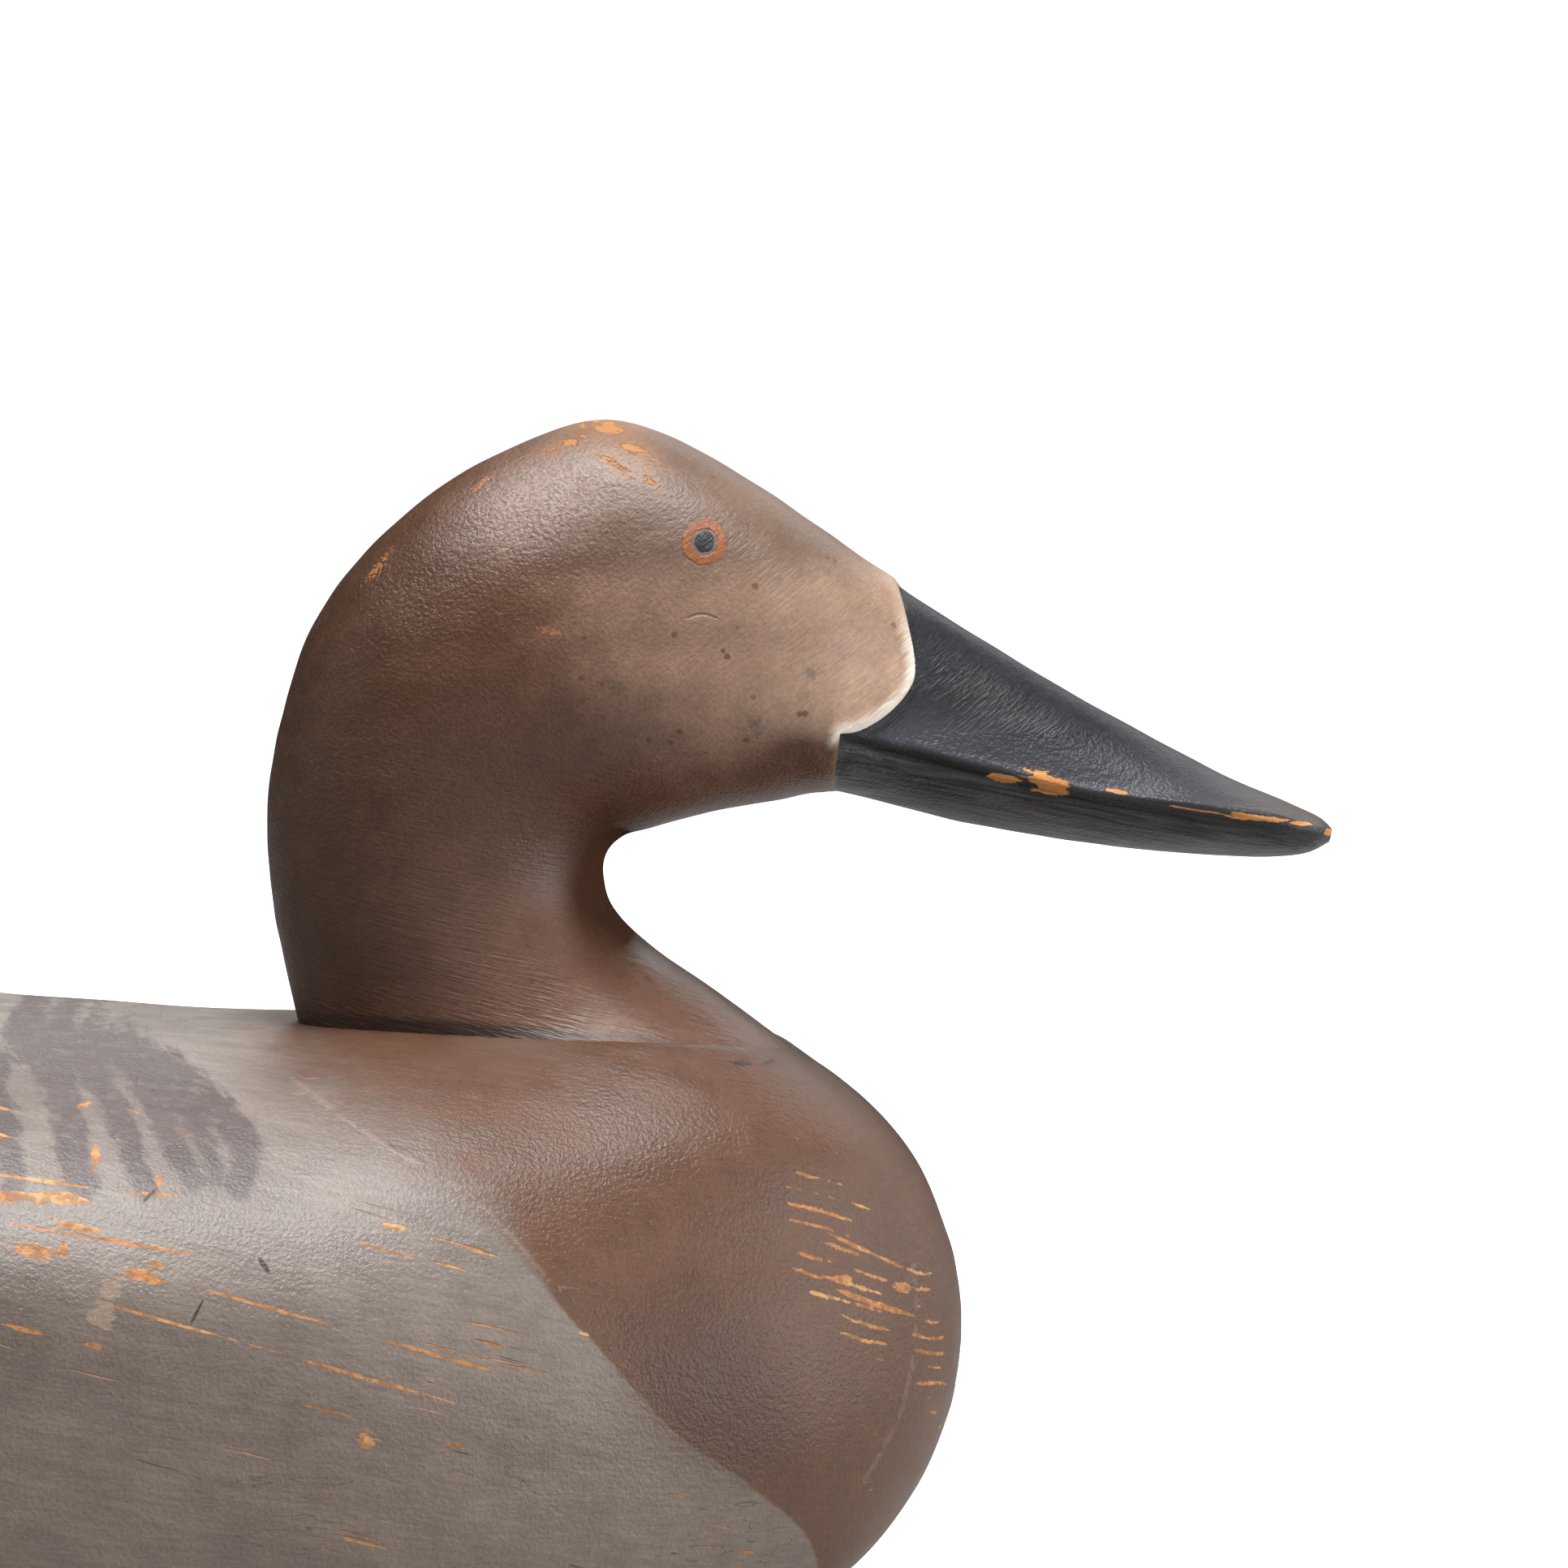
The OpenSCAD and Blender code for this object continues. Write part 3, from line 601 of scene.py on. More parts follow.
class Paint:
    """A node material under construction. Its methods add nodes and return an output to build on.
    at turns shares of the painted piece's box into a place."""

    def __init__(self, name, at=None):
        self.at = at
        self.material = bpy.data.materials.new(name)
        self.material.use_nodes = True
        self.tree = self.material.node_tree
        self.tree.nodes.clear()
        self.place = self.add("TexCoord").outputs["Object"]
        self.x, self.y, self.z = self.add("SeparateXYZ", {0: self.place}).outputs[:3]
        on_left = self.ramp(self.y, -1 * MM, 4 * MM)
        shift = self.add("VectorMath", {0: LEFT_SHIFT, "Scale": on_left}, operation="SCALE")
        shifted = self.add("VectorMath", {0: self.place, 1: shift.outputs[0]}, operation="ADD")
        self.mark_place = shifted.outputs[0]

    def add(self, kind, inputs=None, **settings):
        """A node with its inputs set or linked, by name or number. Colours are given from 0 to 255."""
        node = self.tree.nodes.new("ShaderNode" + kind)
        for key, value in settings.items():
            setattr(node, key, value)
        for key, value in (inputs or {}).items():
            socket = node.inputs[key]
            if isinstance(value, bpy.types.NodeSocket):
                self.tree.links.new(value, socket)
            else:
                socket.default_value = linear(value) if socket.type == "RGBA" else value
        return node

    # Arithmetic on numbers.

    def maths(self, kind, a, b=0.0, c=0.0):
        return self.add("Math", {0: a, 1: b, 2: c}, operation=kind).outputs[0]

    def plus(self, a, b):
        return self.maths("ADD", a, b)

    def minus(self, a, b):
        return self.maths("SUBTRACT", a, b)

    def times(self, a, b):
        return self.maths("MULTIPLY", a, b)

    def larger(self, a, b):
        return self.maths("MAXIMUM", a, b)

    def size(self, a):
        return self.maths("ABSOLUTE", a)

    def swing(self, value, amount):
        """A noise from 0 to 1 made to go either way from 0, by half the amount at most."""
        return self.times(self.minus(value, 0.5), amount)

    def ramp(self, value, low, high, to_low=0.0, to_high=1.0):
        given = {"Value": value, "From Min": low, "From Max": high, "To Min": to_low, "To Max": to_high}
        return self.add("MapRange", given, interpolation_type="SMOOTHSTEP").outputs[0]

    def fall(self, value, low, high):
        return self.ramp(value, low, high, 1.0, 0.0)

    def by_height(self, low, high, to_low=0.0, to_high=1.0):
        """A ramp between two heights, given as shares of the piece's box."""
        return self.ramp(self.z, self.at(0, low)[1] * MM, self.at(0, high)[1] * MM, to_low, to_high)

    def by_length(self, low, high, to_low=0.0, to_high=1.0):
        """A ramp between two places along the piece, given as shares of its box."""
        return self.ramp(self.x, self.at(low, 0)[0] * MM, self.at(high, 0)[0] * MM, to_low, to_high)

    # Patterns and distances.

    def field(self, name):
        return self.add("Attribute", attribute_name=name).outputs["Fac"]

    def stretched(self, tilt, along):
        """Places turned by a tilt in the side view and squeezed along it, for grain and brush marks."""
        turned = self.add("Mapping", {"Vector": self.place, "Rotation": (0, np.radians(tilt), 0)})
        squeezed = self.add("Mapping", {"Vector": turned.outputs[0], "Scale": (1.0 / along, 0.2, 1)})
        return squeezed.outputs[0]

    def noise(self, size, detail=2.0, place=None, rough=0.5):
        """Noise from 0 to 1 with features about size millimetres wide."""
        given = {"Vector": place or self.place, "Scale": 1.0 / (size * MM), "Detail": detail}
        return self.add("TexNoise", {**given, "Roughness": rough}).outputs["Fac"]

    def streaks(self, size, tilt, along, detail=2.0, rough=0.5):
        """Noise drawn out along a tilt."""
        return self.noise(size, detail, self.stretched(tilt, along), rough)

    def thread(self, noise, thin, thick):
        """1 along the thin winding lines where a noise passes its middle."""
        return self.fall(self.size(self.minus(noise, 0.5)), thin, thick)

    def cells(self, size):
        """Distance to scattered points, 0 at each, with points about size millimetres apart."""
        given = {"Vector": self.place, "Scale": 1.0 / (size * MM)}
        return self.add("TexVoronoi", given).outputs["Distance"]

    def distance(self, place_xz):
        """Millimetres in the side view from a place."""
        across = self.minus(self.x, float(place_xz[0]) * MM)
        up = self.minus(self.z, float(place_xz[1]) * MM)
        total = self.plus(self.times(across, across), self.times(up, up))
        return self.times(self.maths("SQRT", total), 1.0 / MM)

    def parallel(self, tilt, spacing, wander):
        """Millimetres from the nearest of many parallel lines in the side view."""
        turn = np.radians(tilt)
        up = self.times(self.z, float(np.cos(turn)) / MM)
        across = self.minus(up, self.times(self.x, float(np.sin(turn)) / MM))
        return self.maths("PINGPONG", self.plus(across, wander), spacing / 2)

    def ovals(self, rows, place=None):
        """1 at the middle of the nearest oval in the side view, 0 at its rim, negative outside."""
        nearest = None
        for u, v, half_long, half_high, tilt in rows:
            x, z = self.at(u, v) * MM
            local = self.add("Mapping", {
                "Vector": place or self.mark_place,
                "Location": (x, 0, z),
                "Rotation": (0, -np.radians(tilt), 0),
                "Scale": (half_long * MM, 1e6, half_high * MM),
            }, vector_type="TEXTURE")
            length = self.add("VectorMath", {0: local.outputs[0]}, operation="LENGTH")
            inner = self.minus(1.0, length.outputs["Value"])
            nearest = self.larger(nearest, inner) if nearest else inner
        return nearest

    def shading(self, oval, full, strength):
        """A soft oval, the same on both sides, at its full strength from a share of the way in; it lays
        painted shade and sheen.
        """
        return self.ramp(self.ovals([oval], self.place), 0.0, full, 0.0, strength)

    # Colours and relief.

    def mix(self, share, a, b):
        """A colour between two colours."""
        return self.add("Mix", {0: share, 6: a, 7: b}, data_type="RGBA").outputs[2]

    def stain(self, base, share, strength, colour):
        """The base with a colour laid over it, by a share times a strength."""
        return self.mix(self.times(share, strength), base, colour)

    def blend(self, share, a, b):
        """A number between two numbers."""
        return self.plus(a, self.times(share, self.minus(b, a)))

    def tint(self, base, value, low, high):
        """The colour times a factor that goes from low to high as a value goes from 0.25 to 0.75."""
        factor = self.ramp(value, 0.25, 0.75, low, high)
        grey = self.add("CombineColor", {0: factor, 1: factor, 2: factor}).outputs[0]
        given = {0: 1.0, 6: base, 7: grey}
        return self.add("Mix", given, data_type="RGBA", blend_type="MULTIPLY").outputs[2]

    def relief(self, *layers):
        """Bumps laid one over another, each a height and its depth in millimetres, as an input for
        finish."""
        under = {}
        for height, depth in layers:
            given = {"Strength": 1.0, "Distance": depth * MM, "Height": height, **under}
            under = {"Normal": self.add("Bump", given).outputs[0]}
        return under

    def finish(self, base, rough, more=None, gloss=0.5, metal=0.0):
        """The finished material. More inputs of its surface, such as its relief, are given by name."""
        given = {"Base Color": base, "Roughness": rough, "Metallic": metal, "Specular IOR Level": gloss}
        surface = self.add("BsdfPrincipled", {**given, **(more or {})})
        self.add("OutputMaterial", {"Surface": surface.outputs["BSDF"]})
        return self.material


BARE_WOOD = (186, 122, 64)
BARE_LIGHT = (214, 160, 100)
DARK_CRACK = (44, 32, 26)


def worn_wood(p, grain):
    """Bare wood streaked along its grain."""
    return p.mix(p.ramp(p.noise(0.9, 3, grain), 0.42, 0.72), BARE_WOOD, BARE_LIGHT)


BILL_TILT = -11


def head_paint():
    """The head's paint with the fields and textures that its parts share."""
    p = Paint("head_paint", head_at)
    p.face_d = p.field("face_d")
    p.bill_d = p.field("bill_d")
    p.lip = p.field("lip")
    p.bristle = p.streaks(0.32, 38, 9)
    p.leather = p.noise(0.58, rough=0.6)
    p.patchy = p.noise(5, 4, rough=0.6)
    p.lengthwise = p.streaks(0.35, BILL_TILT, 24, 3)
    p.to_bill = p.by_length(0.38, 0.56)
    face = p.plus(p.field("face"), p.swing(p.patchy, 0.18))
    p.on_face = p.ramp(face, 0.08, 0.92)
    ahead = p.plus(p.face_d, p.swing(p.patchy, 0.5))
    p.on_bill = p.fall(ahead, -0.12, 0.10)
    p.below_edge = p.fall(p.bill_d, -0.3, 0.25)
    # Painted shade at the throat, under the bill.
    p.throat = p.shading(THROAT_SHADE, 0.6, 0.68)
    return p


def head_coat(p):
    """The head's brown, darker down the nape and with painted shade at the throat, and the tan of the
    face, painted darker towards its top.
    """
    brown = p.mix(p.by_height(0.0, 0.42), (112, 81, 66), (92, 61, 44))
    brown = p.mix(p.by_length(0.02, 0.26, 0.9, 0.0), brown, (68, 46, 32))
    tan = p.mix(p.to_bill, (155, 123, 103), (161, 131, 110))
    tan = p.tint(tan, p.noise(16, 3), 0.96, 1.05)
    # Painted shade: the tan is made darker towards the top of the face, against the light from above.
    tan = p.tint(tan, p.by_height(0.48, 0.80), 1.22, 0.84)
    tan = p.tint(tan, p.by_height(0.64, 0.90), 1.0, 0.53)
    base = p.mix(p.on_face, brown, tan)
    base = p.tint(base, p.patchy, 0.88, 1.10)
    base = p.tint(base, p.bristle, 0.89, 1.08)
    base = p.tint(base, p.leather, 0.88, 1.09)
    # The throat's painted shade.
    return p.mix(p.throat, base, (62, 42, 31))


def head_dirt(p, base):
    """Specks all over, and smudges in front of the cheek."""
    speck = p.fall(p.cells(2.7), 0.13, 0.20)
    speck = p.times(speck, p.ramp(p.noise(7), 0.46, 0.56))
    base = p.stain(base, speck, 0.75, (88, 60, 38))
    spots = p.noise(1.1, 4, rough=0.65)
    for place, reach in SMUDGES:
        near = p.ramp(p.distance(place), 0.0, reach, 0.40, 0.0)
        smudge = p.ramp(p.plus(near, spots), 0.66, 0.86)
        base = p.stain(base, smudge, 0.5, (84, 76, 74))
    return base


def head_crown(p, base):
    """A painted sheen on the crown's sides, bare flecks, and bare wood on top, also given alone."""
    # Painted highlight: the crown's sides are paled where the light from above would be reflected.
    painted_sheen = p.shading(PAINTED_CROWN_SHEEN, 0.8, 0.37)
    painted_sheen = p.times(painted_sheen, p.ramp(p.leather, 0.30, 0.62, 0.35, 1.0))
    base = p.mix(painted_sheen, base, (186, 164, 152))
    flecks = p.plus(p.ovals(FLECKS), p.times(p.noise(0.5, 4, rough=0.6), 4.0))
    base = p.mix(p.ramp(flecks, 2.6, 2.8, 0.0, 0.75), base, (172, 112, 60))
    frayed = p.times(p.streaks(0.7, -14, 5.5, 5, 0.68), 3.4)
    worn = p.plus(p.ovals(CROWN_WEAR), frayed)
    base = p.mix(p.times(p.ramp(worn, 0.6, 2.2), 0.4), base, (150, 104, 66))
    bare = p.ramp(worn, 2.2, 2.4)
    return p.stain(base, bare, 0.8, (176, 118, 62)), bare


def head_seam(p, base):
    """Painted shade along the crease where the neck meets the body, fainter in front."""
    above = p.minus(p.z, p.times(p.x, float(seat_slope)))
    above = p.minus(above, float(seat_back[1] - seat_back[0] * seat_slope) * MM)
    above = p.minus(above, p.times(p.size(p.y), SEAT_SIDE_RISE))
    dark = p.ramp(above, 0.2 * MM, 1.5 * MM, 0.85, 0.0)
    dark = p.times(dark, p.by_length(0.20, 0.42, 1.0, 0.25))
    return p.mix(dark, base, (46, 32, 25))


def head_eye(p, base):
    """An orange ring round a blue-black pupil. Also gives where its paint is."""
    away = p.plus(p.distance(EYE), p.swing(p.noise(1.4, 3), 0.7))
    ring = p.times(p.ramp(away, 1.68, 1.84), p.fall(away, 2.84, 3.0))
    orange = p.tint((138, 79, 41), p.noise(0.6, 3), 0.85, 1.15)
    base = p.stain(base, ring, 0.95, orange)
    pupil = p.fall(away, 1.22, 1.36)
    return p.mix(pupil, base, (30, 31, 34)), p.larger(ring, pupil)


def head_face_edge(p, base):
    """Paint rubbed pale along the carved edge of the face, and thin at the chin."""
    tan = p.ramp(p.plus(p.face_d, p.times(p.patchy, 3.0)), 1.6, 4.6, 0.6, 0.0)
    base = p.mix(p.times(tan, p.lip), base, (150, 118, 88))
    rubbed = p.fall(p.plus(p.face_d, p.times(p.bristle, 1.6)), 1.2, 3.0)
    below_brow = p.by_height(0.61, 0.73, 0.95, 0.1)
    base = p.mix(p.times(p.times(rubbed, p.lip), below_brow), base, (246, 236, 222))
    chin = p.ramp(p.size(p.face_d), 0.2, 0.9, 0.8, 0.0)
    chin = p.times(chin, p.minus(1.0, p.lip))
    return p.mix(p.times(chin, p.ramp(p.patchy, 0.40, 0.60)), base, (120, 84, 50))


def head_bill(p):
    """Blue-black with a painted highlight towards its edge, brushed below the edge with painted shade in
    the groove there, chipped to wood along it. Also gives the bare places.
    """
    paint = p.mix(p.ramp(p.noise(0.9, 4), 0.3, 0.7), (24, 25, 29), (36, 37, 42))
    # Painted highlight: the paint is lighter towards the bill's edge, where the light from above is
    # reflected.
    paint = p.mix(p.ramp(p.bill_d, 1.0, 9.0, 0.8, 0.0), paint, (62, 63, 69))
    to_tip = p.by_length(0.86, 0.98)
    tip = p.times(to_tip, p.ramp(p.patchy, 0.3, 0.6, 0.2, 0.8))
    paint = p.mix(tip, paint, (70, 57, 45))
    brushed = p.mix(p.ramp(p.lengthwise, 0.3, 0.7), (30, 30, 31), (74, 73, 74))
    paint = p.mix(p.below_edge, paint, brushed)
    # Painted shade in the groove under the bill's edge.
    painted_groove_shade = p.ramp(p.size(p.plus(p.bill_d, 1.0)), 0.4, 1.4, 0.75, 0.0)
    paint = p.mix(painted_groove_shade, paint, (26, 25, 26))
    dust = p.ramp(p.noise(0.28), 0.68, 0.78)
    paint = p.stain(paint, dust, 0.30, (140, 140, 146))
    chips = p.times(p.streaks(1.0, BILL_TILT, 4, 4, 0.65), 3.0)
    bare = p.ramp(p.plus(p.ovals(BILL_WEAR), chips), 1.62, 1.74)
    return p.mix(bare, paint, worn_wood(p, p.stretched(BILL_TILT, 10))), bare


def head_dent(p, base):
    """A crescent dent below the eye, with painted shade along it, also given alone."""
    off_arc = p.size(p.minus(p.distance(DENT), DENT_R))
    upper = p.ramp(p.minus(p.z, head_at(0, 0.700)[1] * MM), 0.0, 0.2 * MM)
    dent = p.times(p.fall(off_arc, 0.05, 0.3), upper)
    # Painted shade darkens the dent.
    return p.stain(base, dent, 0.35, (96, 70, 52)), dent


def head_skin(p):
    """Leathery old paint, brushed on the face and streaked round the foot of the neck."""
    brushy = p.times(p.on_face, p.ramp(p.to_bill, 0.0, 1.0, 0.3, 0.8))
    skin = p.mix(brushy, p.leather, p.bristle)
    low_neck = p.by_height(0.22, 0.40, 0.85, 0.0)
    return p.mix(low_neck, skin, p.streaks(0.45, -17, 9, 3, 0.6))


def head_material():
    p = head_paint()
    base, crown_bare = head_crown(p, head_dirt(p, head_coat(p)))
    base, eye = head_eye(p, head_seam(p, base))
    base = head_face_edge(p, base)
    bill, bill_bare = head_bill(p)
    base, dent = head_dent(p, p.mix(p.on_bill, base, bill))
    bare = p.larger(p.times(bill_bare, p.on_bill), crown_bare)
    normal = p.relief((head_skin(p), 0.19), (p.noise(2.4, 3), 0.07), (p.minus(eye, dent), 0.10),
                      (p.times(p.below_edge, p.lengthwise), 0.10), (p.minus(1.0, bare), 0.12))
    rough = p.plus(p.ramp(p.patchy, 0.2, 0.8, 0.32, 0.44), p.times(p.on_face, 0.06))
    rough = p.plus(rough, p.times(bare, 0.15))
    # The gloss is lowered where the throat has painted shade.
    gloss = p.blend(p.on_bill, p.maths("MULTIPLY_ADD", p.throat, -0.75, 0.45), 0.32)
    return p.finish(base, rough, normal, gloss)


GRAIN_TILT = -15


def body_paint():
    """The body's paint with the fields and textures that its parts share."""
    p = Paint("body_paint", body_at)
    p.brown_d = p.field("brown_d")
    p.grain = p.stretched(GRAIN_TILT, 22)
    p.fibre = p.noise(1.0, 4, p.grain, 0.6)
    p.leather = p.noise(0.58, rough=0.6)
    p.broad = p.noise(34, 3)
    p.patchy = p.noise(6, 4, rough=0.6)
    p.frayed = p.swing(p.streaks(1.5, GRAIN_TILT, 5, 5, 0.65), 3.2)
    soft = p.by_height(0.52, 0.86, 0.25, 8.0)
    ragged = p.plus(p.brown_d, p.swing(p.patchy, p.times(soft, 1.6)))
    p.on_brown = p.ramp(ragged, p.times(soft, -1.0), soft)
    p.on_grey = p.fall(p.brown_d, -2.0, 0.0)
    p.some_grey = p.times(p.ramp(p.noise(22), 0.44, 0.60), p.on_grey)
    return p


def body_greys(p):
    """The grey of sides and back, browner low down, with the combed strokes."""
    base = p.mix(p.ramp(p.broad, 0.35, 0.65), (137, 127, 120), (123, 113, 106))
    base = p.tint(base, p.fibre, 0.88, 1.08)
    low = p.by_height(0.30, 0.75, 0.75, 0.0)
    base = p.mix(low, base, p.tint((134, 118, 106), p.fibre, 0.93, 1.06))
    hairs = p.swing(p.streaks(0.7, -40, 5, 3, 0.6), 3.0)
    stroke = p.ramp(p.plus(p.field("stroke_d"), hairs), -0.7, 0.5)
    dry = p.ramp(p.noise(2.2, 4, rough=0.6), 0.30, 0.50, 0.55, 1.0)
    return p.mix(p.times(stroke, dry), base, (98, 88, 86))


def body_coat(p):
    brown = p.mix(p.by_height(0.15, 0.95), (108, 76, 56), (92, 63, 47))
    base = p.mix(p.on_brown, body_greys(p), brown)
    # Painted shade: the paint is darker low on the sides, below the shoulder that the light from above
    # catches.
    base = p.tint(base, p.by_height(0.42, 0.76), 0.89, 1.0)
    # More painted shade along the middle of the side.
    base = p.mix(p.shading(PAINTED_SIDE_SHADE, 0.9, 0.4), base, (84, 68, 58))
    base = p.mix(p.shading(DEEP_BREAST, 0.8, 0.75), base, (72, 43, 28))
    base = p.tint(base, p.patchy, 0.89, 1.08)
    base = p.tint(base, p.streaks(0.45, -7, 26, 3), 0.91, 1.07)
    return p.tint(base, p.leather, 0.90, 1.07)


def body_worn_through(p, lines):
    """Where bare wood shows: fine lines, flaked patches, long checks and the breast's dashes."""
    broken = p.swing(p.streaks(1.2, GRAIN_TILT, 4, 4, 0.65), 1.6)
    worn = lines
    for rows, edge_noise in ((BODY_WEAR, p.frayed), (check_ovals(), broken)):
        patch = p.plus(p.ovals(rows), edge_noise)
        worn = p.larger(worn, p.ramp(patch, 0.14, 0.26))
    return p.larger(worn, body_dashes(p))


def body_dashes(p):
    """Short worn dashes in parallel rows down the front of the breast."""
    region = p.ramp(p.ovals(DASHED), -0.2, 0.7, -0.5, 0.12)
    runs = p.plus(p.streaks(2.2, -26, 3, 3, 0.6), region)
    off_row = p.parallel(-22, 1.9, p.times(p.noise(9), 1.6))
    off_row = p.plus(off_row, p.swing(p.noise(0.7, 3, rough=0.7), 0.7))
    half_width = p.ramp(runs, 0.46, 0.66, -0.5, 0.20)
    return p.fall(p.minus(off_row, half_width), -0.04, 0.06)


def body_wear(p, base, worn, check):
    """Old primer, bare wood that is dirty in places, and open cracks."""
    primer = p.ramp(p.plus(p.ovals(PRIMER), p.frayed), 0.05, 0.15)
    base = p.stain(base, primer, 0.8, (150, 128, 112))
    dirt = p.ramp(p.noise(1.6, 3), 0.46, 0.56)
    bare = p.mix(p.times(dirt, 0.5), worn_wood(p, p.grain), (96, 66, 44))
    base = p.stain(base, worn, 0.9, bare)
    base = p.stain(base, check, 0.7, DARK_CRACK)
    slit = p.ramp(p.plus(p.ovals(SLITS), p.times(p.frayed, 0.3)), 0.1, 0.5)
    return p.stain(base, slit, 0.9, (50, 40, 36))


def body_small_marks(p, base, ridge):
    """Hairline cracks low on the sides, pale flakes, painted shade by the neck and the paint ridges."""
    hairline = p.thread(p.streaks(5.0, -3, 7, 3, 0.6), 0.0015, 0.005)
    hairline = p.times(hairline, p.by_height(0.22, 0.46, 0.65, 0.0))
    hairline = p.times(hairline, p.ramp(p.broad, 0.46, 0.56))
    base = p.mix(p.times(hairline, p.on_grey), base, (66, 54, 48))
    flake = p.ramp(p.noise(1.3, 4, rough=0.7), 0.69, 0.72)
    flake = p.times(flake, p.ramp(p.noise(9), 0.50, 0.60))
    base = p.stain(base, flake, 0.6, (190, 172, 154))
    # Painted shade in the crease at the back of the neck's foot.
    painted_neck_shade = p.times(p.field("neck_shade"), p.ramp(p.patchy, 0.35, 0.6))
    base = p.stain(base, painted_neck_shade, 0.5, (84, 62, 48))
    return p.stain(base, ridge, 0.12, (190, 168, 150))


def body_skin(p):
    """Leathery old paint over the grain, streaked by the neck."""
    skin = p.plus(p.leather, p.times(p.fibre, 0.3))
    by_neck = p.times(p.by_height(0.78, 0.95, 0.0, 0.7), p.on_brown)
    return p.mix(by_neck, skin, p.streaks(0.45, -12, 9, 3, 0.6))


def body_material():
    p = body_paint()
    lines = p.times(p.ramp(p.streaks(1.1, GRAIN_TILT - 1, 26, 2, 0.55), 0.665, 0.695), p.some_grey)
    check = p.times(p.ramp(p.streaks(0.8, GRAIN_TILT - 2, 30), 0.71, 0.735), p.some_grey)
    worn = body_worn_through(p, lines)
    ridge = p.fall(p.size(p.field("ridge_d")), 0.1, 0.55)
    ridge = p.times(ridge, p.ramp(p.noise(2.0, 3), 0.38, 0.55))
    base = body_small_marks(p, body_wear(p, body_coat(p), worn, check), ridge)
    normal = p.relief((body_skin(p), 0.18), (ridge, 0.08), (p.noise(3.2, 3), 0.06),
                      (p.minus(1.0, p.larger(lines, check)), 0.16))
    rough = p.plus(p.ramp(p.patchy, 0.2, 0.8, 0.33, 0.46), p.times(worn, 0.14))
    return p.finish(base, rough, normal, 0.42)


def old_board_material(name, grey):
    """Grey paint scuffed to wood, for the board and the keel."""
    p = Paint(name)
    grain = p.stretched(0, 18)
    fibre = p.noise(1.1, 4, grain, 0.6)
    patchy = p.noise(7, 4, rough=0.6)
    base = p.tint(grey, p.noise(26, 3), 0.88, 1.10)
    base = p.tint(base, patchy, 0.90, 1.08)
    base = p.tint(base, fibre, 0.90, 1.08)
    near_ground = p.ramp(p.z, 0.5 * MM, 4 * MM, 0.30, 0.0)
    scuff = p.ramp(p.plus(p.noise(4.2, 5, grain, 0.65), near_ground), 0.64, 0.70)
    base = p.mix(scuff, base, worn_wood(p, grain))
    check = p.thread(p.streaks(4.0, 0, 30), 0.002, 0.007)
    base = p.stain(base, check, 0.6, DARK_CRACK)
    normal = p.relief((fibre, 0.16), (p.minus(1.0, p.larger(scuff, check)), 0.16))
    return p.finish(base, p.ramp(patchy, 0.2, 0.8, 0.5, 0.68), normal, 0.35)


def iron_material(name, clean, rust, amount):
    """Old iron or steel with patches of rust, more of them for a larger amount."""
    p = Paint(name)
    rusty = p.ramp(p.noise(2.6, 5, rough=0.65), 0.62 - amount, 0.78 - amount)
    base = p.tint(p.mix(rusty, clean, rust), p.noise(0.5, 3), 0.82, 1.15)
    normal = p.relief((p.noise(0.45, 3), 0.06))
    rough = p.ramp(rusty, 0.0, 1.0, 0.38, 0.82)
    return p.finish(base, rough, normal, 0.5, p.ramp(rusty, 0.0, 1.0, 0.95, 0.15))


def lead_material():
    p = Paint("dull_lead")
    dents = p.noise(3.4, 3, rough=0.55)
    scratches = p.streaks(0.3, 4, 22)
    base = p.mix(p.ramp(dents, 0.3, 0.7), (104, 106, 112), (140, 141, 145))
    base = p.tint(base, scratches, 0.85, 1.15)
    normal = p.relief((dents, 0.35), (scratches, 0.06))
    return p.finish(base, p.ramp(dents, 0.2, 0.8, 0.42, 0.6), normal, 0.5, 0.85)


def bedding_material():
    p = Paint("bedding_compound")
    base = p.tint((196, 188, 172), p.noise(3.0, 4), 0.75, 1.1)
    return p.finish(base, 0.75, p.relief((p.noise(0.8, 3), 0.15)), 0.3)


def dowel_material():
    p = Paint("dowel_wood")
    grain = p.streaks(0.8, 90, 20, 3)
    base = p.mix(p.ramp(grain, 0.3, 0.7), (196, 150, 98), (222, 182, 130))
    return p.finish(base, 0.6, p.relief((grain, 0.05)), 0.35)


# ---- The pieces ----


def dress(node, material, bevel=0.0):
    """Gives a CAD node that stays its material and softened edges."""
    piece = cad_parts[node]
    piece.data.materials.clear()
    piece.data.materials.append(material)
    if bevel:
        rounded = piece.modifiers.new("rounded_edges", "BEVEL")
        rounded.width = bevel * MM
        rounded.segments = 3
        rounded.limit_method = "ANGLE"
        rounded.angle_limit = np.radians(35)
        rounded.harden_normals = True


add_piece("painted_head_and_neck", make_head(), head_material(), "head_wood", "head_and_neck")

# The carved body is cut at the CAD's levels into the shell, the board and the bedding between them.
hull = make_body()
upper = slice_of("body_upper", hull, shell_low[2], None)
body = add_piece("painted_body", upper, body_material(), "body_wood", "body_shell")
lower = slice_of("board", hull, board_low[2], board_high[2])
board_paint = old_board_material("board_paint", (138, 128, 119))
board = add_piece("painted_bottom_board", lower, board_paint, "board_wood", "bottom_board")
sink_nails(board, "board_nails")
bead = slice_of("bedding", hull, board_high[2], shell_low[2], inset=0.35)
seal = add_piece("bedding_bead", bead, bedding_material(), "bedding_compound", "board_seal")
for piece in (body, board, seal):
    soften(piece.data)

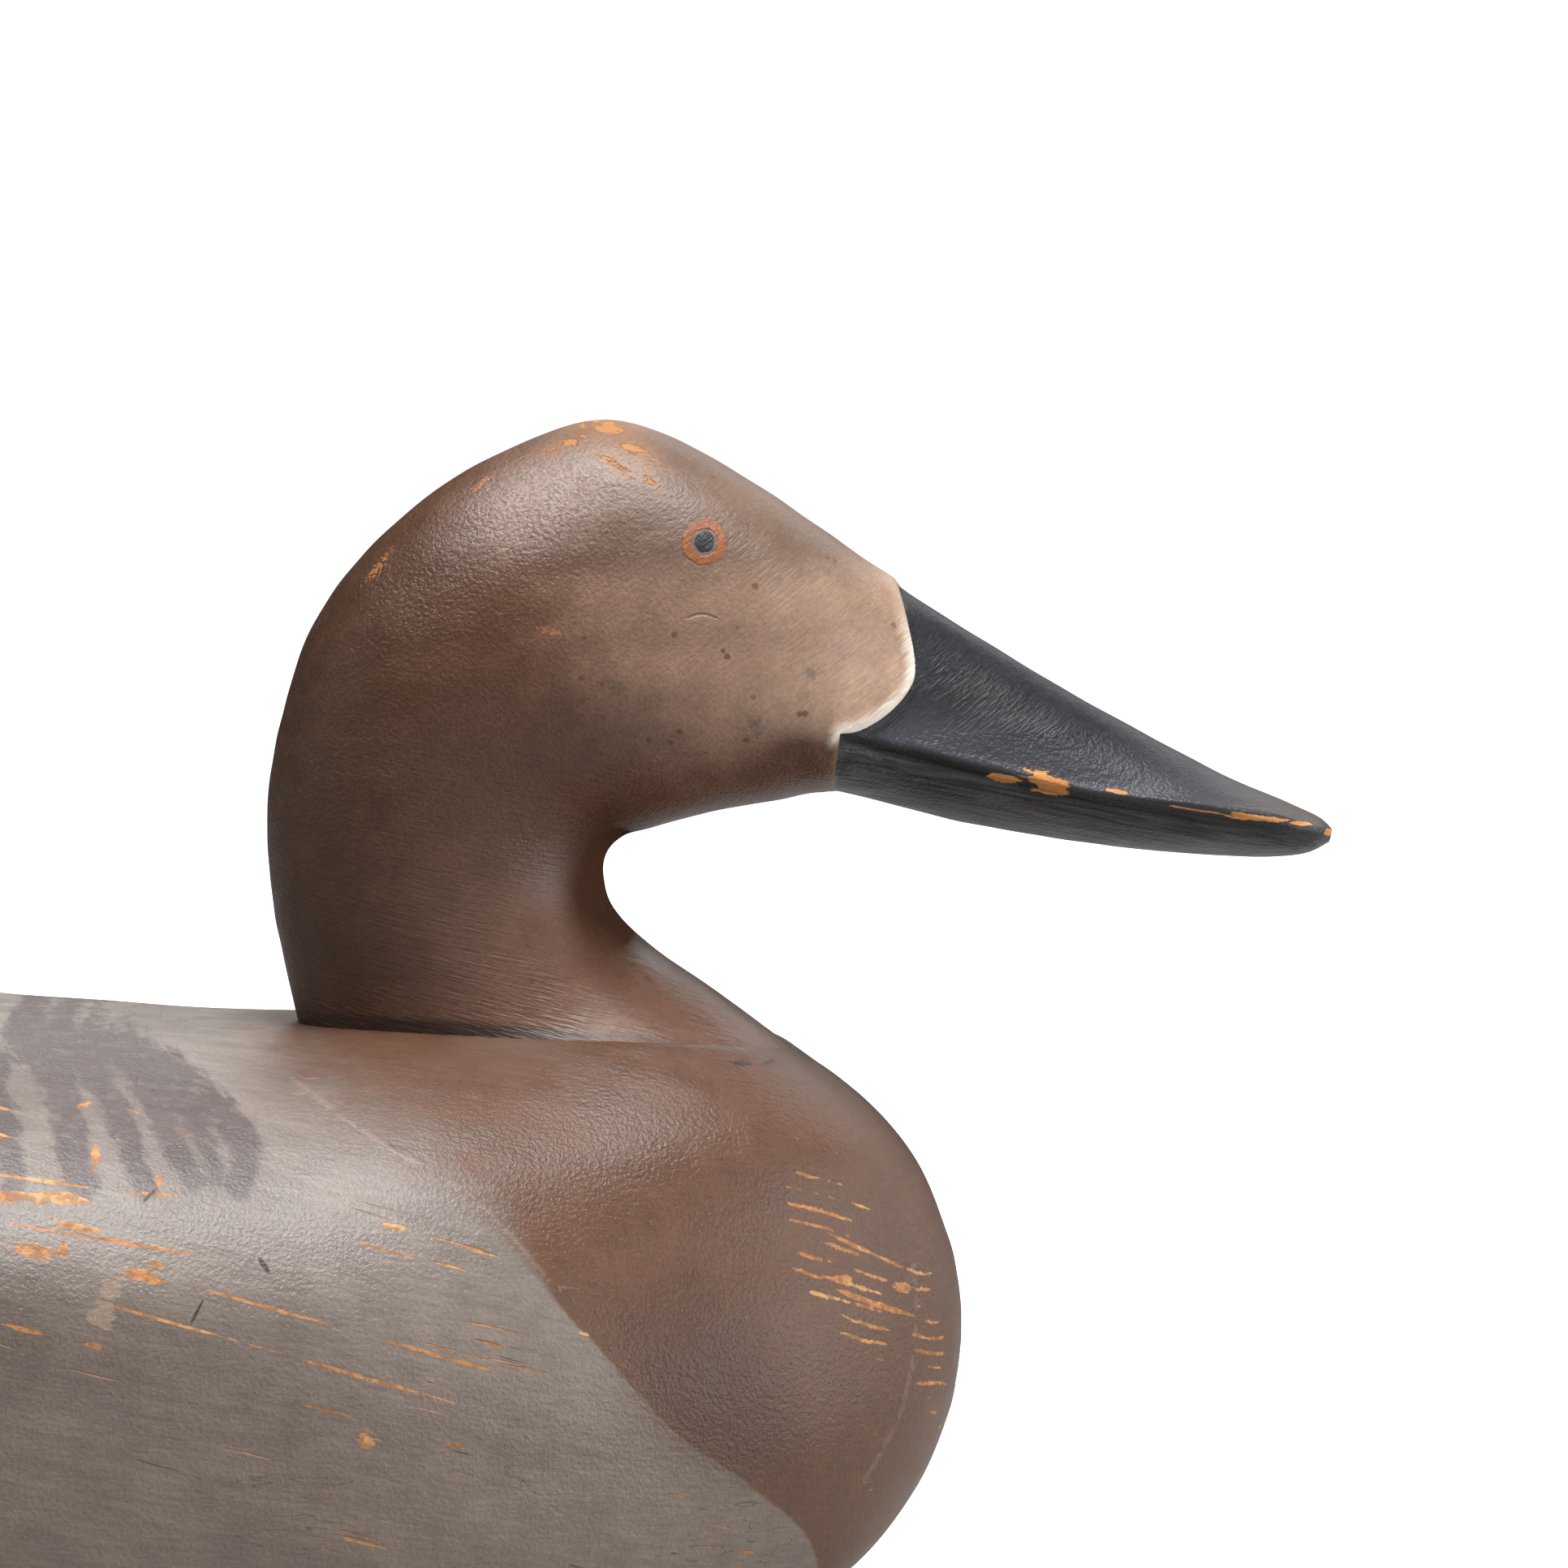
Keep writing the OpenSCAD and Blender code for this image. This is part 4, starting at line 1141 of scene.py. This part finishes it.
iron = iron_material("old_iron", (92, 84, 78), (112, 66, 40), 0.12)
wire = iron_material("tarnished_wire", (120, 112, 104), (108, 70, 46), 0.06)
steel = iron_material("plain_steel", (168, 168, 170), (120, 84, 60), -0.05)
dress("keel", old_board_material("keel_paint", (132, 122, 113)), 1.1)
dress("ballast_strip", lead_material(), 0.5)
dress("neck_dowel", dowel_material())
for node in ("board_nails", "ballast_nails"):
    dress(node, iron)
for node in ("line_staple", "line_ring"):
    dress(node, wire)
for node in ("neck_screws", "neck_washers", "keel_screws"):
    dress(node, steel)


# ---- Floor, light and camera ----


def make_floor():
    """A pale floor that curves up into a backdrop far behind."""
    wide, near_y, far_y, bend, top = 6.0, -3.0, 4.0, 1.6, 6.0
    profile = [(near_y, 0.0)]
    for turn in np.linspace(0, np.pi / 2, 14):
        profile.append((far_y + bend * np.sin(turn), bend * (1 - np.cos(turn))))
    profile.append((far_y + bend, top))
    points = [(x, y, z) for y, z in profile for x in (-wide, wide)]
    faces = [(2 * i, 2 * i + 1, 2 * i + 3, 2 * i + 2) for i in range(len(profile) - 1)]
    mesh = bpy.data.meshes.new("floor")
    mesh.from_pydata(points, [], faces)
    mesh.shade_smooth()
    p = Paint("pale_floor")
    seen = p.add("LightPath").outputs["Is Camera Ray"]
    away = p.maths("SQRT", p.plus(p.times(p.x, p.x), p.times(p.y, p.y)))
    glow = p.times(seen, p.ramp(away, 0.15, 0.9, 0.25, 1.0))
    shade = p.mix(seen, (165, 165, 165), (238, 238, 238))
    emission = {"Emission Color": (255, 255, 255), "Emission Strength": glow}
    mesh.materials.append(p.finish(shade, 0.9, emission, 0.1))
    floor = bpy.data.objects.new("floor", mesh)
    bpy.context.scene.collection.objects.link(floor)


def add_light(name, place, target, size, power):
    """A soft rectangular light that faces a target."""
    light = bpy.data.lights.new(name, "AREA")
    light.shape = "RECTANGLE"
    light.size, light.size_y = size
    light.energy = power
    lamp = bpy.data.objects.new(name, light)
    lamp.location = place
    lamp.rotation_euler = (Vector(target) - Vector(place)).to_track_quat("-Z", "Y").to_euler()
    bpy.context.scene.collection.objects.link(lamp)


def make_camera():
    """A long lens square to the decoy's right side, looking a little down on it."""
    view_w = 1.471 * head_l * MM
    distance = 1.6
    elevation = np.radians(4.5)
    x, z = head_at(0.481, 0.4245) * MM
    target = Vector((x, 0.0, z))
    camera = bpy.data.cameras.new("camera")
    camera.sensor_width = 36
    camera.lens = camera.sensor_width * distance / view_w
    camera.clip_end = 30
    eye = bpy.data.objects.new("camera", camera)
    eye.location = target + Vector((0, -np.cos(elevation), np.sin(elevation))) * distance
    eye.rotation_euler = (target - eye.location).to_track_quat("-Z", "Y").to_euler()
    bpy.context.scene.collection.objects.link(eye)
    bpy.context.scene.camera = eye


# Soft lights: place, size and power. They all face the middle of the decoy.
LIGHTS = {
    "overhead": ((0.08, -0.22, 1.2), (0.9, 0.5), 22.0),
    "crown_sheen": ((-0.34, 0.10, 1.2), (0.5, 0.35), 2.5),
    "front_fill": ((0.7, -2.0, 0.35), (1.6, 1.2), 5.8),
    "breast_fill": ((1.3, -0.35, 0.25), (1.0, 0.8), 10.0),
    "breast_rim": ((1.3, 0.75, 0.45), (1.4, 1.2), 4.5),
    "back_rim": ((0.5, 1.5, 1.0), (1.4, 0.8), 4.5),
    "tail_side": ((-1.5, -0.15, 0.45), (0.5, 0.9), 1.0),
}
LIT_PLACE = (0.06, 0.0, 0.09)


def make_world():
    world = bpy.data.worlds.new("studio")
    world.use_nodes = True
    sky = world.node_tree.nodes["Background"]
    sky.inputs["Color"].default_value = (1, 1, 1, 1)
    sky.inputs["Strength"].default_value = 0.10
    bpy.context.scene.world = world
    bpy.context.scene.view_settings.view_transform = "Standard"


make_floor()
for light_name, (light_place, light_size, power) in LIGHTS.items():
    add_light(light_name, light_place, LIT_PLACE, light_size, power)
make_world()
make_camera()
